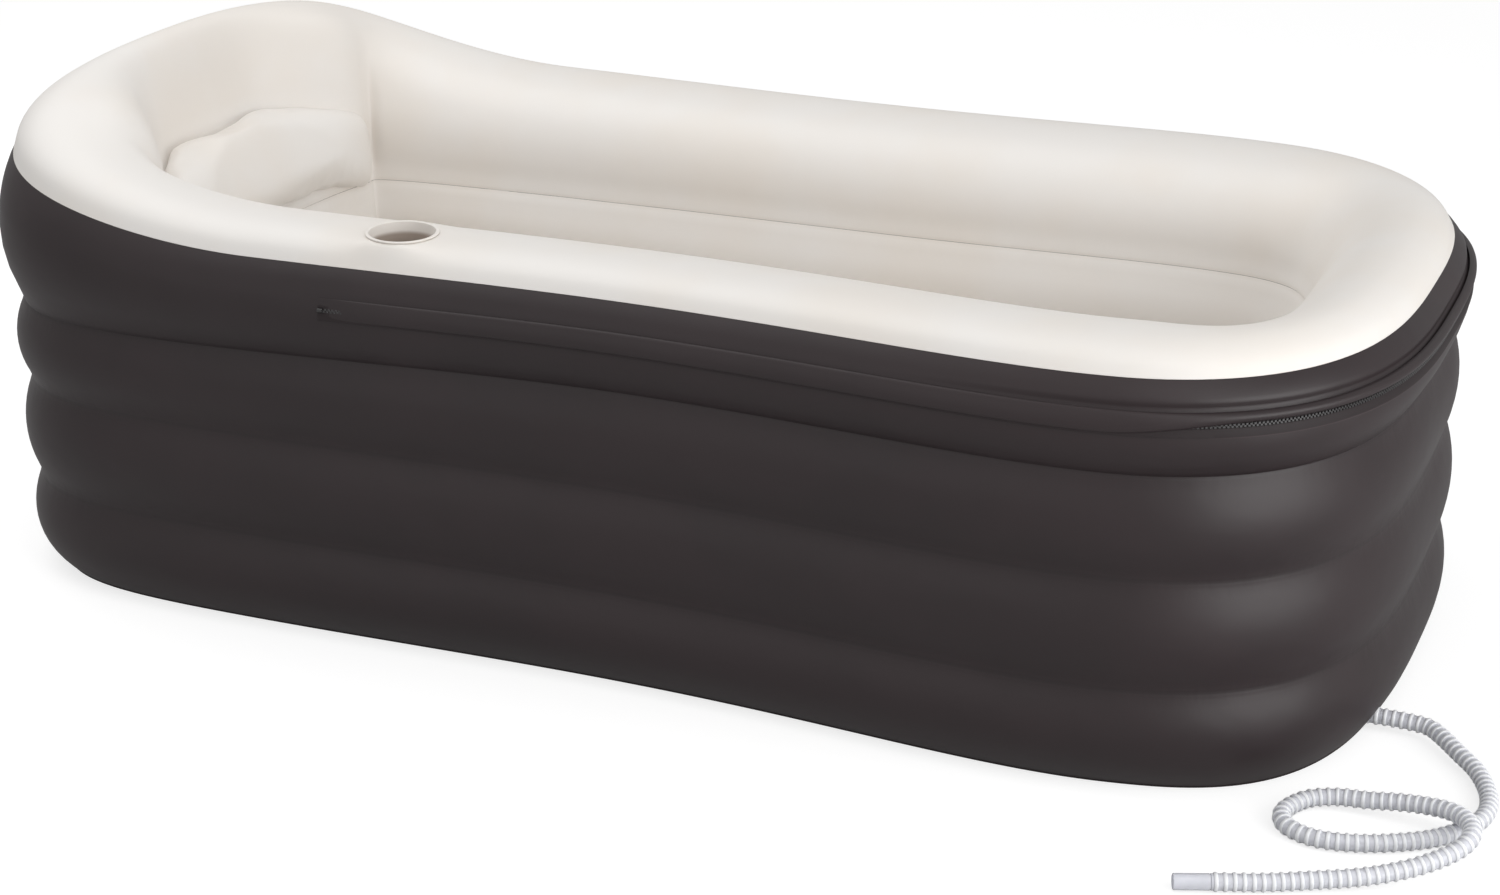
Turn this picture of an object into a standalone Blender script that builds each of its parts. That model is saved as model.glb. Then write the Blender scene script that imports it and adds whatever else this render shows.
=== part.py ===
# Inflatable bathtub with a ribbed drain hose.
# The tub stands on the floor plane, its head end towards -X and its foot end towards +X.
# Lengths are in metres, +Z is up and the origin is under the middle of the tub.
# The wall is two thin skins, tied together by level webs, so it is a ring of stacked bulges.

import math

import bpy
import bmesh
from mathutils import Matrix, Vector

# Plan of the tub
TUB_LENGTH = 1.678
PLAN_WIDTH = 0.898
HEAD_END_POWERS = (11.0, 2.435)
FOOT_END_POWERS = (5.675, 2.841)
TAPER_SHARE = 0.038
WAIST_SHARE = 0.083
WAIST_PLACE = 0.088
WAIST_REACH = 0.45

# Heights of the wall
RIM_HEIGHT = 0.475
HEAD_RISE = 0.094
RISE_START = 0.395
RISE_REACH = 1.196
LOWER_CREASE_HEIGHT = 0.116
MIDDLE_CREASE_HEIGHT = 0.237
UPPER_CREASE_HEIGHT = 0.349
CREASE_DROOP = 0.016
DROOP_START = 0.10
DROOP_REACH = 0.80

# Thickness of the wall, and of what it is made from
TOP_BULGE_DEPTH = 0.023
BULGE_DEPTH = 0.016
INNER_BULGE_DEPTH = 0.020
BASE_INSET = 0.018
FOOT_BASE_INSET = 0.008
BASE_INSET_POWER = 3.0
SIDE_WALL_WIDTH = 0.163
HEAD_WALL_WIDTH = 0.178
FOOT_WALL_WIDTH = 0.150
SKIN_THICKNESS = 0.0010
BASE_THICKNESS = 0.0012
WEB_THICKNESS = 0.0010
GAP = 0.0003
CUT_OVERRUN = 0.010
VENT_RADIUS = 0.015
VENT_SPACING = 0.60

# Rim sections, each point as a share of the wall's width and of the height from crease to crest.
# They run from the coloured seam over the crest and down to the inner crease.
SIDE_RIM_SHARES = (
    (0.00, 0.79), (0.05, 0.90), (0.15, 0.97), (0.32, 1.00), (0.56, 0.98),
    (0.77, 0.91), (0.93, 0.77), (1.03, 0.55), (1.05, 0.29), (1.00, 0.00))
HEAD_RIM_SHARES = (
    (0.00, 0.79), (0.05, 0.89), (0.14, 0.96), (0.27, 1.00), (0.39, 0.96),
    (0.48, 0.82), (0.53, 0.64), (0.58, 0.50), (0.79, 0.25), (1.00, 0.00))
FOOT_RIM_SHARES = (
    (0.00, 0.79), (0.06, 0.90), (0.17, 0.97), (0.31, 1.00), (0.48, 0.97),
    (0.64, 0.87), (0.79, 0.71), (0.91, 0.49), (0.99, 0.24), (1.00, 0.00))
CORNER_RIM_SHARES = (
    (0.00, 0.79), (0.05, 0.90), (0.15, 0.97), (0.30, 1.00), (0.52, 0.985),
    (0.74, 0.93), (0.90, 0.77), (0.975, 0.46), (0.995, 0.22), (1.00, 0.00))

# How squarely a slice faces the head end, from 0 on the sides to 1 in the middle of the end.
# The corner section takes over up to the first share, and the scooped head section between
# the other two.
CORNER_FACING_SHARE = 0.30
SCOOP_HALF_WIDTH = 0.235
SCOOP_REACH = 0.16

# The foot end leans inwards by this much at the rim's height
FOOT_LEAN = 0.010
FOOT_BLEND_FROM_END = 0.259
FOOT_BLEND_START = TUB_LENGTH / 2.0 - FOOT_BLEND_FROM_END
FOOT_BLEND_REACH = 0.20
VALLEY_POINT = 7

# Backrest and floor cushions
BACKREST_WIDTH = 0.45
BACKREST_DEPTH = 0.048
BACKREST_END_DEPTH = 0.024
BACKREST_SWELL_POWER = 4.0
BACKREST_END_POWER = 6.0
FLOOR_CUSHION_HEIGHT = 0.055
FLOOR_CUSHION_CROWN = 0.008
FLOOR_CUSHION_DRAW = 0.014
FLOOR_CUSHION_CLEARANCE = 0.0010

# Cup holder in the near rim
CUP_X = -0.236
CUP_FROM_SIDE = 0.102
CUP_Y = CUP_FROM_SIDE - PLAN_WIDTH / 2.0
CUP_RADIUS = 0.0360
CUP_WALL = 0.0012
CUP_LIP_WIDTH = 0.0030
CUP_LIP_HEIGHT = 0.0016
CUP_DEPTH = 0.085

# Zip for a cover, round the foot half of the top bulge
ZIP_END_X = -0.30
ZIP_LOWER_TAPE_WIDTH = 0.0065
ZIP_UPPER_TAPE_WIDTH = 0.0032
ZIP_TAPE_THICKNESS = 0.0008
ZIP_TEETH_WIDTH = 0.0040
ZIP_TEETH_HEIGHT = 0.0016
ZIP_EDGE_MARGIN = 0.0010
WELT_WIDTH = 0.0076
WELT_HEIGHT = 0.0040
STOP_LENGTH = 0.006
STOP_HEIGHT = 0.0030
SLIDER_X = -0.215
SLIDER_LENGTH = 0.022
SLIDER_WIDTH = 0.0100
SLIDER_ROOF = 0.0014
SLIDER_CLEARANCE = 0.0005
BRIDGE_LENGTH = 0.0120
BRIDGE_WIDTH = 0.0022
BRIDGE_BAR = 0.0012
PULL_LENGTH = 0.030
PULL_WIDTH = 0.0090
PULL_THICKNESS = 0.0016
PULL_SLOT_LENGTH = 0.0110
PULL_SLOT_WIDTH = 0.0050
PULL_CLEARANCE = 0.0004

# Wall valve on the far side
WALL_VALVE_FROM_END = 0.319
WALL_VALVE_X = WALL_VALVE_FROM_END - TUB_LENGTH / 2.0
WALL_VALVE_RADIUS = 0.020
WALL_VALVE_BORE = 0.013
WALL_VALVE_PROUD = 0.003
WALL_VALVE_DEPTH = 0.022
WALL_VALVE_CAP_RADIUS = 0.0185
WALL_VALVE_CAP_THICKNESS = 0.004
WALL_VALVE_CAP_SKIRT = 0.006
WALL_VALVE_CAP_WALL = 0.0015
GRIP_WIDTH = 0.004
GRIP_HEIGHT = 0.004
SPIDER_WIDTH = 0.006
SPIDER_THICKNESS = 0.0025
FLAP_RADIUS = 0.016
FLAP_THICKNESS = 0.0015
STEM_RADIUS = 0.0018
STEM_CLEARANCE = 0.0004
STEM_HEAD_RADIUS = 0.0030
STEM_HEAD_THICKNESS = 0.0012
FLAP_TRAVEL = 0.004

# Small valves on the two cushions
SMALL_VALVE_FLANGE_RADIUS = 0.0110
SMALL_VALVE_FLANGE_THICKNESS = 0.0015
SMALL_VALVE_TUBE_RADIUS = 0.0070
SMALL_VALVE_TUBE_LENGTH = 0.0130
SMALL_VALVE_BORE = 0.0040
STOPPER_HEAD_RADIUS = 0.0085
STOPPER_HEAD_THICKNESS = 0.0020
STOPPER_PIN_LENGTH = 0.0090
STOPPER_CLEARANCE = 0.0003
FLOOR_VALVE_FROM_END = 0.379
FLOOR_VALVE_X = TUB_LENGTH / 2.0 - FLOOR_VALVE_FROM_END
FLOOR_VALVE_Y = -0.10
BACKREST_VALVE_Y = -0.150
BACKREST_VALVE_SHIFT = 0.0035

# Drain through the foot end of the wall
DRAIN_Y = -0.162
DRAIN_HEIGHT = 0.0160
DRAIN_BORE = 0.0050
NECK_RADIUS = 0.0066
NECK_LENGTH = 0.012
OUTLET_RADIUS = 0.0100
OUTLET_FACE = 0.0115
OUTLET_DEPTH = 0.0180
SPIGOT_LENGTH = 0.010
INLET_RADIUS = 0.0120
INLET_FACE = 0.0195
INLET_LENGTH = 0.026
PLUG_RADIUS = 0.0080
PLUG_CLEARANCE = 0.0003
PLUG_DEPTH = 0.010
PLUG_HEAD_RADIUS = 0.0110
PLUG_HEAD_THICKNESS = 0.0020
PLUG_TAB_LENGTH = 0.012
PLUG_TAB_WIDTH = 0.010
PLUG_TAB_THICKNESS = 0.0025
DRAIN_TUBE_RADIUS = 0.0085
SUMP_RADIUS = 0.045

# Ribbed drain hose, a smooth bore inside raised ribs, lying on the floor
HOSE_RADIUS = 0.0096
HOSE_GROOVE_RADIUS = 0.0082
HOSE_BORE_RADIUS = 0.0070
HOSE_RIB_PITCH = 0.0090
HOSE_BORE_STEP = 0.0160
HOSE_FLOOR_CLEARANCE = 0.0004
CUFF_RADIUS = 0.0082
CUFF_BORE_RADIUS = 0.0064
CUFF_LENGTH = 0.036

# The hose's route, chosen by hand, as places on the floor and heights above where it lies.
# Places along the tub count from its foot end. The hose makes one loop and passes over itself
# where the height is greatest.
HOSE_ROUTE = (
    (0.0280, -0.1660, 0.0058), (0.0460, -0.1820, 0.0050), (0.0670, -0.2070, 0.0034),
    (0.0920, -0.2380, 0.0014), (0.1090, -0.2770, 0.0), (0.1140, -0.3150, 0.0),
    (0.1060, -0.3470, 0.0), (0.0870, -0.3750, 0.0), (0.0610, -0.3990, 0.0),
    (0.0150, -0.4240, 0.0), (-0.0300, -0.4330, 0.0), (-0.0630, -0.4200, 0.0),
    (-0.0730, -0.3930, 0.0), (-0.0570, -0.3610, 0.0010), (-0.0290, -0.3480, 0.0030),
    (0.0020, -0.3480, 0.0060), (0.0330, -0.3480, 0.0105), (0.0595, -0.3520, 0.0145),
    (0.0840, -0.3620, 0.0190), (0.1020, -0.3770, 0.0212), (0.1120, -0.3990, 0.0215),
    (0.1100, -0.4220, 0.0200), (0.0960, -0.4430, 0.0150), (0.0670, -0.4695, 0.0090),
    (0.0280, -0.4940, 0.0040), (-0.0220, -0.5175, 0.0010), (-0.0590, -0.5350, 0.0),
    (-0.0880, -0.5465, 0.0))

# Fineness of the model
FINE_ANGLES = 1440
FINE_POINTS = 888
NORMAL_WINDOW = 18
BISECTION_STEPS = 48
STATION_COUNT = 44
TURN_WEIGHT_LENGTH = 0.55
BULGE_STEPS = 4
INNER_BULGE_STEPS = 3
BACKREST_STEPS = 6
ROUND_SIDES = 24
SMALL_SIDES = 16
VENT_SIDES = 10
HOSE_SIDES = 8
ROUTE_SAMPLES = 24
MITRE_FLOOR_SHARE = 0.35
SMOOTH_ANGLE = math.radians(35)

BASE_TOP = BASE_THICKNESS + GAP

# Colours and finishes: base colour, roughness and opacity
DARK_VINYL = ("dark_vinyl", (0.045, 0.040, 0.041), 0.45, 1.0)
CREAM_VINYL = ("cream_vinyl", (0.87, 0.83, 0.78), 0.42, 1.0)
WHITE_PLASTIC = ("white_plastic", (0.80, 0.80, 0.78), 0.35, 1.0)
DARK_PLASTIC = ("dark_plastic", (0.030, 0.028, 0.029), 0.40, 1.0)
ZIP_FABRIC = ("zip_fabric", (0.030, 0.027, 0.028), 0.85, 1.0)
CLEAR_HOSE = ("clear_hose", (0.80, 0.82, 0.88), 0.20, 0.7)
RUBBER = ("soft_rubber", (0.55, 0.55, 0.53), 0.60, 1.0)


def smooth_step(value):
    """Eases from 0 to 1 as the value goes from 0 to 1."""
    clipped = min(max(value, 0.0), 1.0)
    return clipped * clipped * (3.0 - 2.0 * clipped)


def clear_scene():
    for item in list(bpy.data.objects):
        bpy.data.objects.remove(item, do_unlink=True)


def material(kind):
    name, colour, roughness, opacity = kind
    found = bpy.data.materials.get(name)
    if found:
        return found
    made = bpy.data.materials.new(name)
    made.use_nodes = True
    shader = made.node_tree.nodes["Principled BSDF"]
    shader.inputs["Base Color"].default_value = (*colour, 1.0)
    shader.inputs["Roughness"].default_value = roughness
    shader.inputs["Metallic"].default_value = 0.0
    shader.inputs["Alpha"].default_value = opacity
    made.diffuse_color = (*colour, opacity)
    return made


def finish_object(name, shape, kind, frame=None, cutter=False):
    """Turns a bmesh, in the frame's own coordinates, into a named object."""
    bmesh.ops.recalc_face_normals(shape, faces=shape.faces)
    mesh = bpy.data.meshes.new(name)
    shape.to_mesh(mesh)
    shape.free()
    mesh.shade_smooth()
    mesh.set_sharp_from_angle(angle=SMOOTH_ANGLE)
    made = bpy.data.objects.new(name, mesh)
    bpy.context.scene.collection.objects.link(made)
    if frame is not None:
        made.matrix_world = frame
    if kind is not None:
        mesh.materials.append(material(kind))
    if cutter:
        made.hide_render = True
        made.display_type = "WIRE"
    return made


def combine(target, tool, operation):
    """Changes the target by the tool's volume with a live Boolean."""
    change = target.modifiers.new(operation.lower() + "_" + tool.name, "BOOLEAN")
    change.operation = operation
    change.solver = "EXACT"
    change.object = tool


def cut(target, tool):
    combine(target, tool, "DIFFERENCE")


def unite(target, tool):
    combine(target, tool, "UNION")


def axis_frame(place, axis, side):
    """A frame whose Z runs along the axis and whose X lies towards the side direction."""
    third = axis.normalized()
    first = (side - third * side.dot(third)).normalized()
    second = third.cross(first)
    rows = Matrix((first, second, third)).transposed().to_4x4()
    rows.translation = place
    return rows


# Plan curve and stations

def end_radius(angle, half_length, half_width):
    """Distance from the centre to the rounded-box outline, before taper and waist."""
    cosine, sine = math.cos(angle), math.sin(angle)
    along_power, across_power = HEAD_END_POWERS if cosine < 0.0 else FOOT_END_POWERS
    low, high = 0.0, half_length + half_width
    for _ in range(BISECTION_STEPS):
        middle = (low + high) / 2.0
        along = abs(middle * cosine / half_length) ** along_power
        across = abs(middle * sine / half_width) ** across_power
        if along + across > 1.0:
            high = middle
        else:
            low = middle
    return low


def plan_curve(inset):
    """The closed plan outline, set in from the widest outline, as evenly spaced points."""
    half_length = TUB_LENGTH / 2.0 - inset
    half_width = PLAN_WIDTH / 2.0 - inset
    rough = []
    for step in range(FINE_ANGLES):
        angle = math.tau * step / FINE_ANGLES
        radius = end_radius(angle, half_length, half_width)
        x = radius * math.cos(angle)
        waist = 1.0 - WAIST_SHARE * math.exp(-((x - WAIST_PLACE) / WAIST_REACH) ** 2)
        y = radius * math.sin(angle) * (1.0 + TAPER_SHARE * x / half_length) * waist
        rough.append(Vector((x, y)))
    return even_points(rough, FINE_POINTS)


def even_points(points, count):
    """Points at equal steps along a closed line."""
    ring = points + [points[0]]
    reached = [0.0]
    for before, after in zip(ring, ring[1:]):
        reached.append(reached[-1] + (after - before).length)
    placed = []
    index = 0
    for step in range(count):
        wanted = reached[-1] * step / count
        while reached[index + 1] < wanted:
            index += 1
        share = (wanted - reached[index]) / (reached[index + 1] - reached[index])
        placed.append(ring[index].lerp(ring[index + 1], share))
    return placed


class Station:
    """One upright slice of the wall: where it stands, which way is inwards, and its sizes."""

    def __init__(self, point, inward, wall_width, crest, upper_crease, head, foot, corner):
        self.point = point
        self.inward = inward
        self.wall_width = wall_width
        self.crest = crest
        self.upper_crease = upper_crease
        self.head = head
        self.foot = foot
        self.corner = corner

    def place(self, across, height):
        """The world point at a distance across the wall and a height."""
        lean = FOOT_LEAN * self.foot * height / RIM_HEIGHT
        flat = self.point + self.inward * (across + lean)
        return Vector((flat.x, flat.y, height))

    def blend(self, other, share):
        """A slice between two stations, straight as the wall's own facets are."""
        mix = [a + (b - a) * share for a, b in zip(self.values(), other.values())]
        return Station(self.point.lerp(other.point, share),
                       self.inward.lerp(other.inward, share), *mix)

    def values(self):
        return (self.wall_width, self.crest, self.upper_crease, self.head, self.foot,
                self.corner)

    def rim_section(self):
        """Rim points from seam to inner crease, as (across, height)."""
        weights = (1.0 - self.head - self.foot - self.corner, self.head, self.foot, self.corner)
        span = self.crest - self.upper_crease
        points = []
        for shares in zip(SIDE_RIM_SHARES, HEAD_RIM_SHARES, FOOT_RIM_SHARES, CORNER_RIM_SHARES):
            across, height = (sum(w * v for w, v in zip(weights, line)) for line in zip(*shares))
            points.append((across * self.wall_width, self.upper_crease + height * span))
        return points

    def base_inset(self):
        """How far the wall is drawn in at the floor."""
        return BASE_INSET + (FOOT_BASE_INSET - BASE_INSET) * self.foot

    def outer_heights(self):
        seam = self.rim_section()[0][1]
        return (BASE_TOP, LOWER_CREASE_HEIGHT, MIDDLE_CREASE_HEIGHT, self.upper_crease, seam)


def rise_share(x):
    """How much of the head's rise the rim has at a place along the tub."""
    full = smooth_step((TUB_LENGTH / 2.0 - TOP_BULGE_DEPTH - RISE_START) / RISE_REACH)
    return smooth_step((-x - RISE_START) / RISE_REACH) / full


def make_stations():
    """Slices round the tub, closer together where the outline turns."""
    curve = plan_curve(TOP_BULGE_DEPTH)
    count = len(curve)
    normals = []
    for index in range(count):
        along = curve[(index + 1) % count] - curve[index - 1]
        normals.append(Vector((along.y, -along.x)).normalized())
    blended = []
    for index in range(count):
        total = Vector((0.0, 0.0))
        for step in range(-NORMAL_WINDOW, NORMAL_WINDOW + 1):
            total += normals[(index + step) % count]
        blended.append(total.normalized())
    cost = [0.0]
    for index in range(count):
        following = (index + 1) % count
        length = (curve[following] - curve[index]).length
        turn = normals[index].angle(normals[following])
        cost.append(cost[-1] + length + turn * TURN_WEIGHT_LENGTH)
    stations = []
    index = 0
    for step in range(STATION_COUNT):
        wanted = cost[-1] * step / STATION_COUNT
        while cost[index + 1] < wanted:
            index += 1
        share = (wanted - cost[index]) / (cost[index + 1] - cost[index])
        following = (index + 1) % count
        point = curve[index].lerp(curve[following], share)
        outward = blended[index].lerp(blended[following], share).normalized()
        stations.append(station_at(point, outward))
    return stations


def station_at(point, outward):
    end_width = HEAD_WALL_WIDTH if outward.x < 0.0 else FOOT_WALL_WIDTH
    wall_width = SIDE_WALL_WIDTH + (end_width - SIDE_WALL_WIDTH) * outward.x ** 2
    crest = RIM_HEIGHT + HEAD_RISE * rise_share(point.x)
    droop = CREASE_DROOP * smooth_step((DROOP_START - point.x) / DROOP_REACH)
    facing = outward.x ** 2 if outward.x < 0.0 else 0.0
    end = smooth_step(facing / CORNER_FACING_SHARE)
    inner_reach = abs(point.y) - abs(outward.y) * wall_width
    head = end * smooth_step((SCOOP_HALF_WIDTH - inner_reach) / SCOOP_REACH)
    corner = end - head
    foot = smooth_step((point.x - FOOT_BLEND_START) / FOOT_BLEND_REACH)
    return Station(point, -outward, wall_width, crest, UPPER_CREASE_HEIGHT - droop, head, foot,
                   corner)


# Sections of the wall, as (across, height) points

def bulge(low, high, depth, steps):
    """A circular arc between two heights, bulging outwards by the depth."""
    half = (high - low) / 2.0
    radius = (half * half + depth * depth) / (2.0 * depth)
    reach = math.atan2(half, radius - depth)
    points = []
    for step in range(steps + 1):
        angle = reach * (2.0 * step / steps - 1.0)
        points.append((radius - depth - radius * math.cos(angle),
                       low + half + radius * math.sin(angle)))
    return points


def drawn_in(arc, inset):
    """The lowest bulge, drawn in towards the floor."""
    last = len(arc) - 1
    return [(across + inset * (1.0 - step / last) ** BASE_INSET_POWER, height)
            for step, (across, height) in enumerate(arc)]


def outer_section(station):
    heights = station.outer_heights()
    depths = (BULGE_DEPTH, BULGE_DEPTH, BULGE_DEPTH, TOP_BULGE_DEPTH)
    points = []
    for low, high, depth in zip(heights, heights[1:], depths):
        arc = bulge(low, high, depth, BULGE_STEPS)
        points += arc[1:] if points else drawn_in(arc, station.base_inset())
    across, height = points[-1]
    points[-1] = (across, height - GAP)
    return points


def inner_section(station):
    heights = (BASE_TOP, LOWER_CREASE_HEIGHT, MIDDLE_CREASE_HEIGHT, station.upper_crease - GAP)
    points = []
    for low, high in reversed(list(zip(heights, heights[1:]))):
        arc = [(station.wall_width - across, height)
               for across, height in bulge(low, high, INNER_BULGE_DEPTH, INNER_BULGE_STEPS)]
        arc.reverse()
        points += arc[1:] if points else arc
    return points


def rim_skin_section(station):
    points = station.rim_section()
    across, height = points[-1]
    points[-1] = (across, height + GAP)
    return points


def offset_section(points, distance):
    """The same line moved towards the air chamber, mitred at its corners."""
    sides = []
    for (a0, h0), (a1, h1) in zip(points, points[1:]):
        length = math.hypot(a1 - a0, h1 - h0)
        sides.append(((h1 - h0) / length, -(a1 - a0) / length))
    moved = []
    for index, (across, height) in enumerate(points):
        before = sides[max(index - 1, 0)]
        after = sides[min(index, len(sides) - 1)]
        together = 1.0 + before[0] * after[0] + before[1] * after[1]
        scale = distance / max(together, MITRE_FLOOR_SHARE)
        moved.append((across + (before[0] + after[0]) * scale,
                      height + (before[1] + after[1]) * scale))
    return moved


def sheet_loop(points, thickness):
    """A closed loop round a sheet whose outer face follows the points."""
    return points + offset_section(points, thickness)[::-1]


def loft(stations, loops, closed=True):
    """Joins one closed loop at each station into a solid, round the tub or between two ends.

    Each side face is split in two, its split mirrored on the loop's way back. So the two faces
    of a thin sheet stay side by side where it twists.
    """
    shape = bmesh.new()
    rings = []
    for station, loop in zip(stations, loops):
        rings.append([shape.verts.new(station.place(across, height)) for across, height in loop])
    pairs = list(zip(rings, rings[1:]))
    if closed:
        pairs.append((rings[-1], rings[0]))
    for first, second in pairs:
        size = len(first)
        for index in range(size):
            following = (index + 1) % size
            a, b, c, d = first[index], first[following], second[following], second[index]
            splits = ((a, b, c), (a, c, d)) if index < size // 2 else ((a, b, d), (b, c, d))
            for corners in splits:
                shape.faces.new(corners)
    if not closed:
        shape.faces.new(rings[0])
        shape.faces.new(rings[-1][::-1])
    return shape


# Round and boxed shapes

def lathe(profile, sides, hollow=False):
    """Turns (radius, along) points about Z. A hollow profile is a closed loop off the axis."""
    shape = bmesh.new()
    rings = []
    for radius, along in profile:
        if radius == 0.0:
            rings.append([shape.verts.new((0.0, 0.0, along))])
            continue
        ring = []
        for step in range(sides):
            angle = math.tau * step / sides
            ring.append(shape.verts.new((radius * math.cos(angle), radius * math.sin(angle), along)))
        rings.append(ring)
    pairs = list(zip(rings, rings[1:]))
    if hollow:
        pairs.append((rings[-1], rings[0]))
    for first, second in pairs:
        for index in range(sides):
            following = (index + 1) % sides
            corners = [first[index % len(first)], first[following % len(first)],
                       second[following % len(second)], second[index % len(second)]]
            shape.faces.new(list(dict.fromkeys(corners)))
    return shape


def add_box(shape, low, high):
    """Adds a box between two corners to the shape."""
    made = bmesh.ops.create_cube(shape, size=1.0)
    for vert in made["verts"]:
        share = vert.co + Vector((0.5, 0.5, 0.5))
        vert.co = Vector((low[k] + (high[k] - low[k]) * share[k] for k in range(3)))
    return shape


def join_boxes(name, boxes, kind, frame):
    """An object made of overlapping boxes, united into one body."""
    base = finish_object(name, add_box(bmesh.new(), *boxes[0]), kind, frame)
    for number, box in enumerate(boxes[1:]):
        unite(base, finish_object(name + "_add_" + str(number), add_box(bmesh.new(), *box), None,
                                  frame, cutter=True))
    return base


def cylinder_tool(name, radius, length, frame, sides):
    """A cutter centred on the frame's origin, along its Z."""
    half = length / 2.0
    profile = [(0.0, -half), (radius, -half), (radius, half), (0.0, half)]
    return finish_object(name, lathe(profile, sides), None, frame, cutter=True)


# Skins, webs and base

def make_wall(stations):
    outer = loft(stations, [sheet_loop(outer_section(s), SKIN_THICKNESS) for s in stations])
    rim = loft(stations, [sheet_loop(rim_skin_section(s), SKIN_THICKNESS) for s in stations])
    inner = loft(stations, [sheet_loop(inner_section(s), SKIN_THICKNESS) for s in stations])
    return (finish_object("outer_wall_skin", outer, DARK_VINYL),
            finish_object("rim_skin", rim, CREAM_VINYL),
            finish_object("inner_wall_skin", inner, CREAM_VINYL))


def web_loop(station, height):
    """A flat band tied to the outer and the inner crease at one height."""
    skin_reach = 2.0 * SKIN_THICKNESS + GAP
    near, far = skin_reach, station.wall_width - skin_reach
    low, high = height - WEB_THICKNESS / 2.0, height + WEB_THICKNESS / 2.0
    return [(near, low), (far, low), (far, high), (near, high)]


def make_webs(stations):
    """Three level webs, each with the same row of vent holes."""
    heights = {
        "wall_web_lower": [LOWER_CREASE_HEIGHT] * len(stations),
        "wall_web_middle": [MIDDLE_CREASE_HEIGHT] * len(stations),
        "wall_web_upper": [s.upper_crease for s in stations]}
    vents = vent_tool(stations)
    for name, levels in heights.items():
        shape = loft(stations, [web_loop(s, level) for s, level in zip(stations, levels)])
        cut(finish_object(name, shape, CREAM_VINYL), vents)


def vent_tool(stations):
    """Upright cylinders through all three webs, spaced along the wall's middle."""
    middles = [s.place(s.wall_width / 2.0, 0.0) for s in stations]
    ring = middles + [middles[0]]
    length = sum((b - a).length for a, b in zip(ring, ring[1:]))
    count = max(round(length / VENT_SPACING), 1)
    shape = bmesh.new()
    low = LOWER_CREASE_HEIGHT - CUT_OVERRUN
    high = UPPER_CREASE_HEIGHT + CUT_OVERRUN
    for number in range(count):
        wanted = length * (number + 0.5) / count
        centre = ring[0]
        for before, after in zip(ring, ring[1:]):
            step = (after - before).length
            if wanted <= step:
                centre = before.lerp(after, wanted / step)
                break
            wanted -= step
        bottom = []
        top = []
        for side in range(VENT_SIDES):
            angle = math.tau * side / VENT_SIDES
            x = centre.x + VENT_RADIUS * math.cos(angle)
            y = centre.y + VENT_RADIUS * math.sin(angle)
            bottom.append(shape.verts.new((x, y, low)))
            top.append(shape.verts.new((x, y, high)))
        shape.faces.new(bottom[::-1])
        shape.faces.new(top)
        for side in range(VENT_SIDES):
            after = (side + 1) % VENT_SIDES
            shape.faces.new((bottom[side], bottom[after], top[after], top[side]))
    return finish_object("vent_tool", shape, None, cutter=True)


def make_base(stations):
    """The flat sheet that the whole tub stands on."""
    shape = bmesh.new()
    bottom = [shape.verts.new(s.place(s.base_inset(), 0.0)) for s in stations]
    top = [shape.verts.new(s.place(s.base_inset(), BASE_THICKNESS)) for s in stations]
    shape.faces.new(bottom[::-1])
    shape.faces.new(top)
    for index in range(len(stations)):
        after = (index + 1) % len(stations)
        shape.faces.new((bottom[index], bottom[after], top[after], top[index]))
    finish_object("base_sheet", shape, DARK_VINYL)


# Cushions

def make_floor_cushion(stations, drain):
    """A crowned mat whose sides are drawn in, inside the foot of the inner wall."""
    reach = INNER_BULGE_DEPTH + FLOOR_CUSHION_CLEARANCE
    edge = [s.place(s.wall_width + reach, 0.0) for s in stations]
    half_length = max(abs(p.x) for p in edge)
    half_width = max(abs(p.y) for p in edge)
    draw = FLOOR_CUSHION_DRAW
    shoulder = FLOOR_CUSHION_HEIGHT - FLOOR_CUSHION_CROWN
    middle = BASE_TOP + (shoulder - BASE_TOP) / 2.0
    rows = ((draw, BASE_TOP), (0.0, middle), (draw, shoulder),
            (half_width / 2.0, FLOOR_CUSHION_HEIGHT))
    shape = bmesh.new()
    rings = []
    for inset, height in rows:
        along = 1.0 - inset / half_length
        across = 1.0 - inset / half_width
        rings.append([shape.verts.new((p.x * along, p.y * across, height)) for p in edge])
    shape.faces.new(rings[0][::-1])
    for first, second in zip(rings, rings[1:]):
        for index in range(len(first)):
            after = (index + 1) % len(first)
            shape.faces.new((first[index], first[after], second[after], second[index]))
    shape.faces.new(rings[-1])
    cushion = finish_object("floor_cushion", shape, CREAM_VINYL)
    sump_frame = Matrix.Translation((drain["inlet_face"], DRAIN_Y, FLOOR_CUSHION_HEIGHT))
    length = 2.0 * (FLOOR_CUSHION_HEIGHT + CUT_OVERRUN)
    cut(cushion, cylinder_tool("sump_tool", SUMP_RADIUS, length, sump_frame, ROUND_SIDES))
    return cushion


def backrest_stations(stations):
    """The slices of the head wall that the backrest covers, its two ends placed exactly.

    They run the same way round as the rim's, so that both split their faces alike.
    """
    half = BACKREST_WIDTH / 2.0
    order = sorted((s for s in stations if math.isclose(s.head + s.corner, 1.0)), key=inner_side)
    chosen = []
    for before, after in zip(order, order[1:]):
        y0, y1 = inner_side(before), inner_side(after)
        if abs(y0) <= half:
            chosen.append(before)
        for end in (-half, half):
            if y0 < end < y1:
                chosen.append(before.blend(after, (end - y0) / (y1 - y0)))
    if abs(inner_side(order[-1])) <= half:
        chosen.append(order[-1])
    return sorted(chosen, key=inner_side, reverse=True)


def inner_side(station):
    """How far to the side of the tub's middle the inner crease is at this slice."""
    return station.place(station.wall_width, 0.0).y


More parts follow.
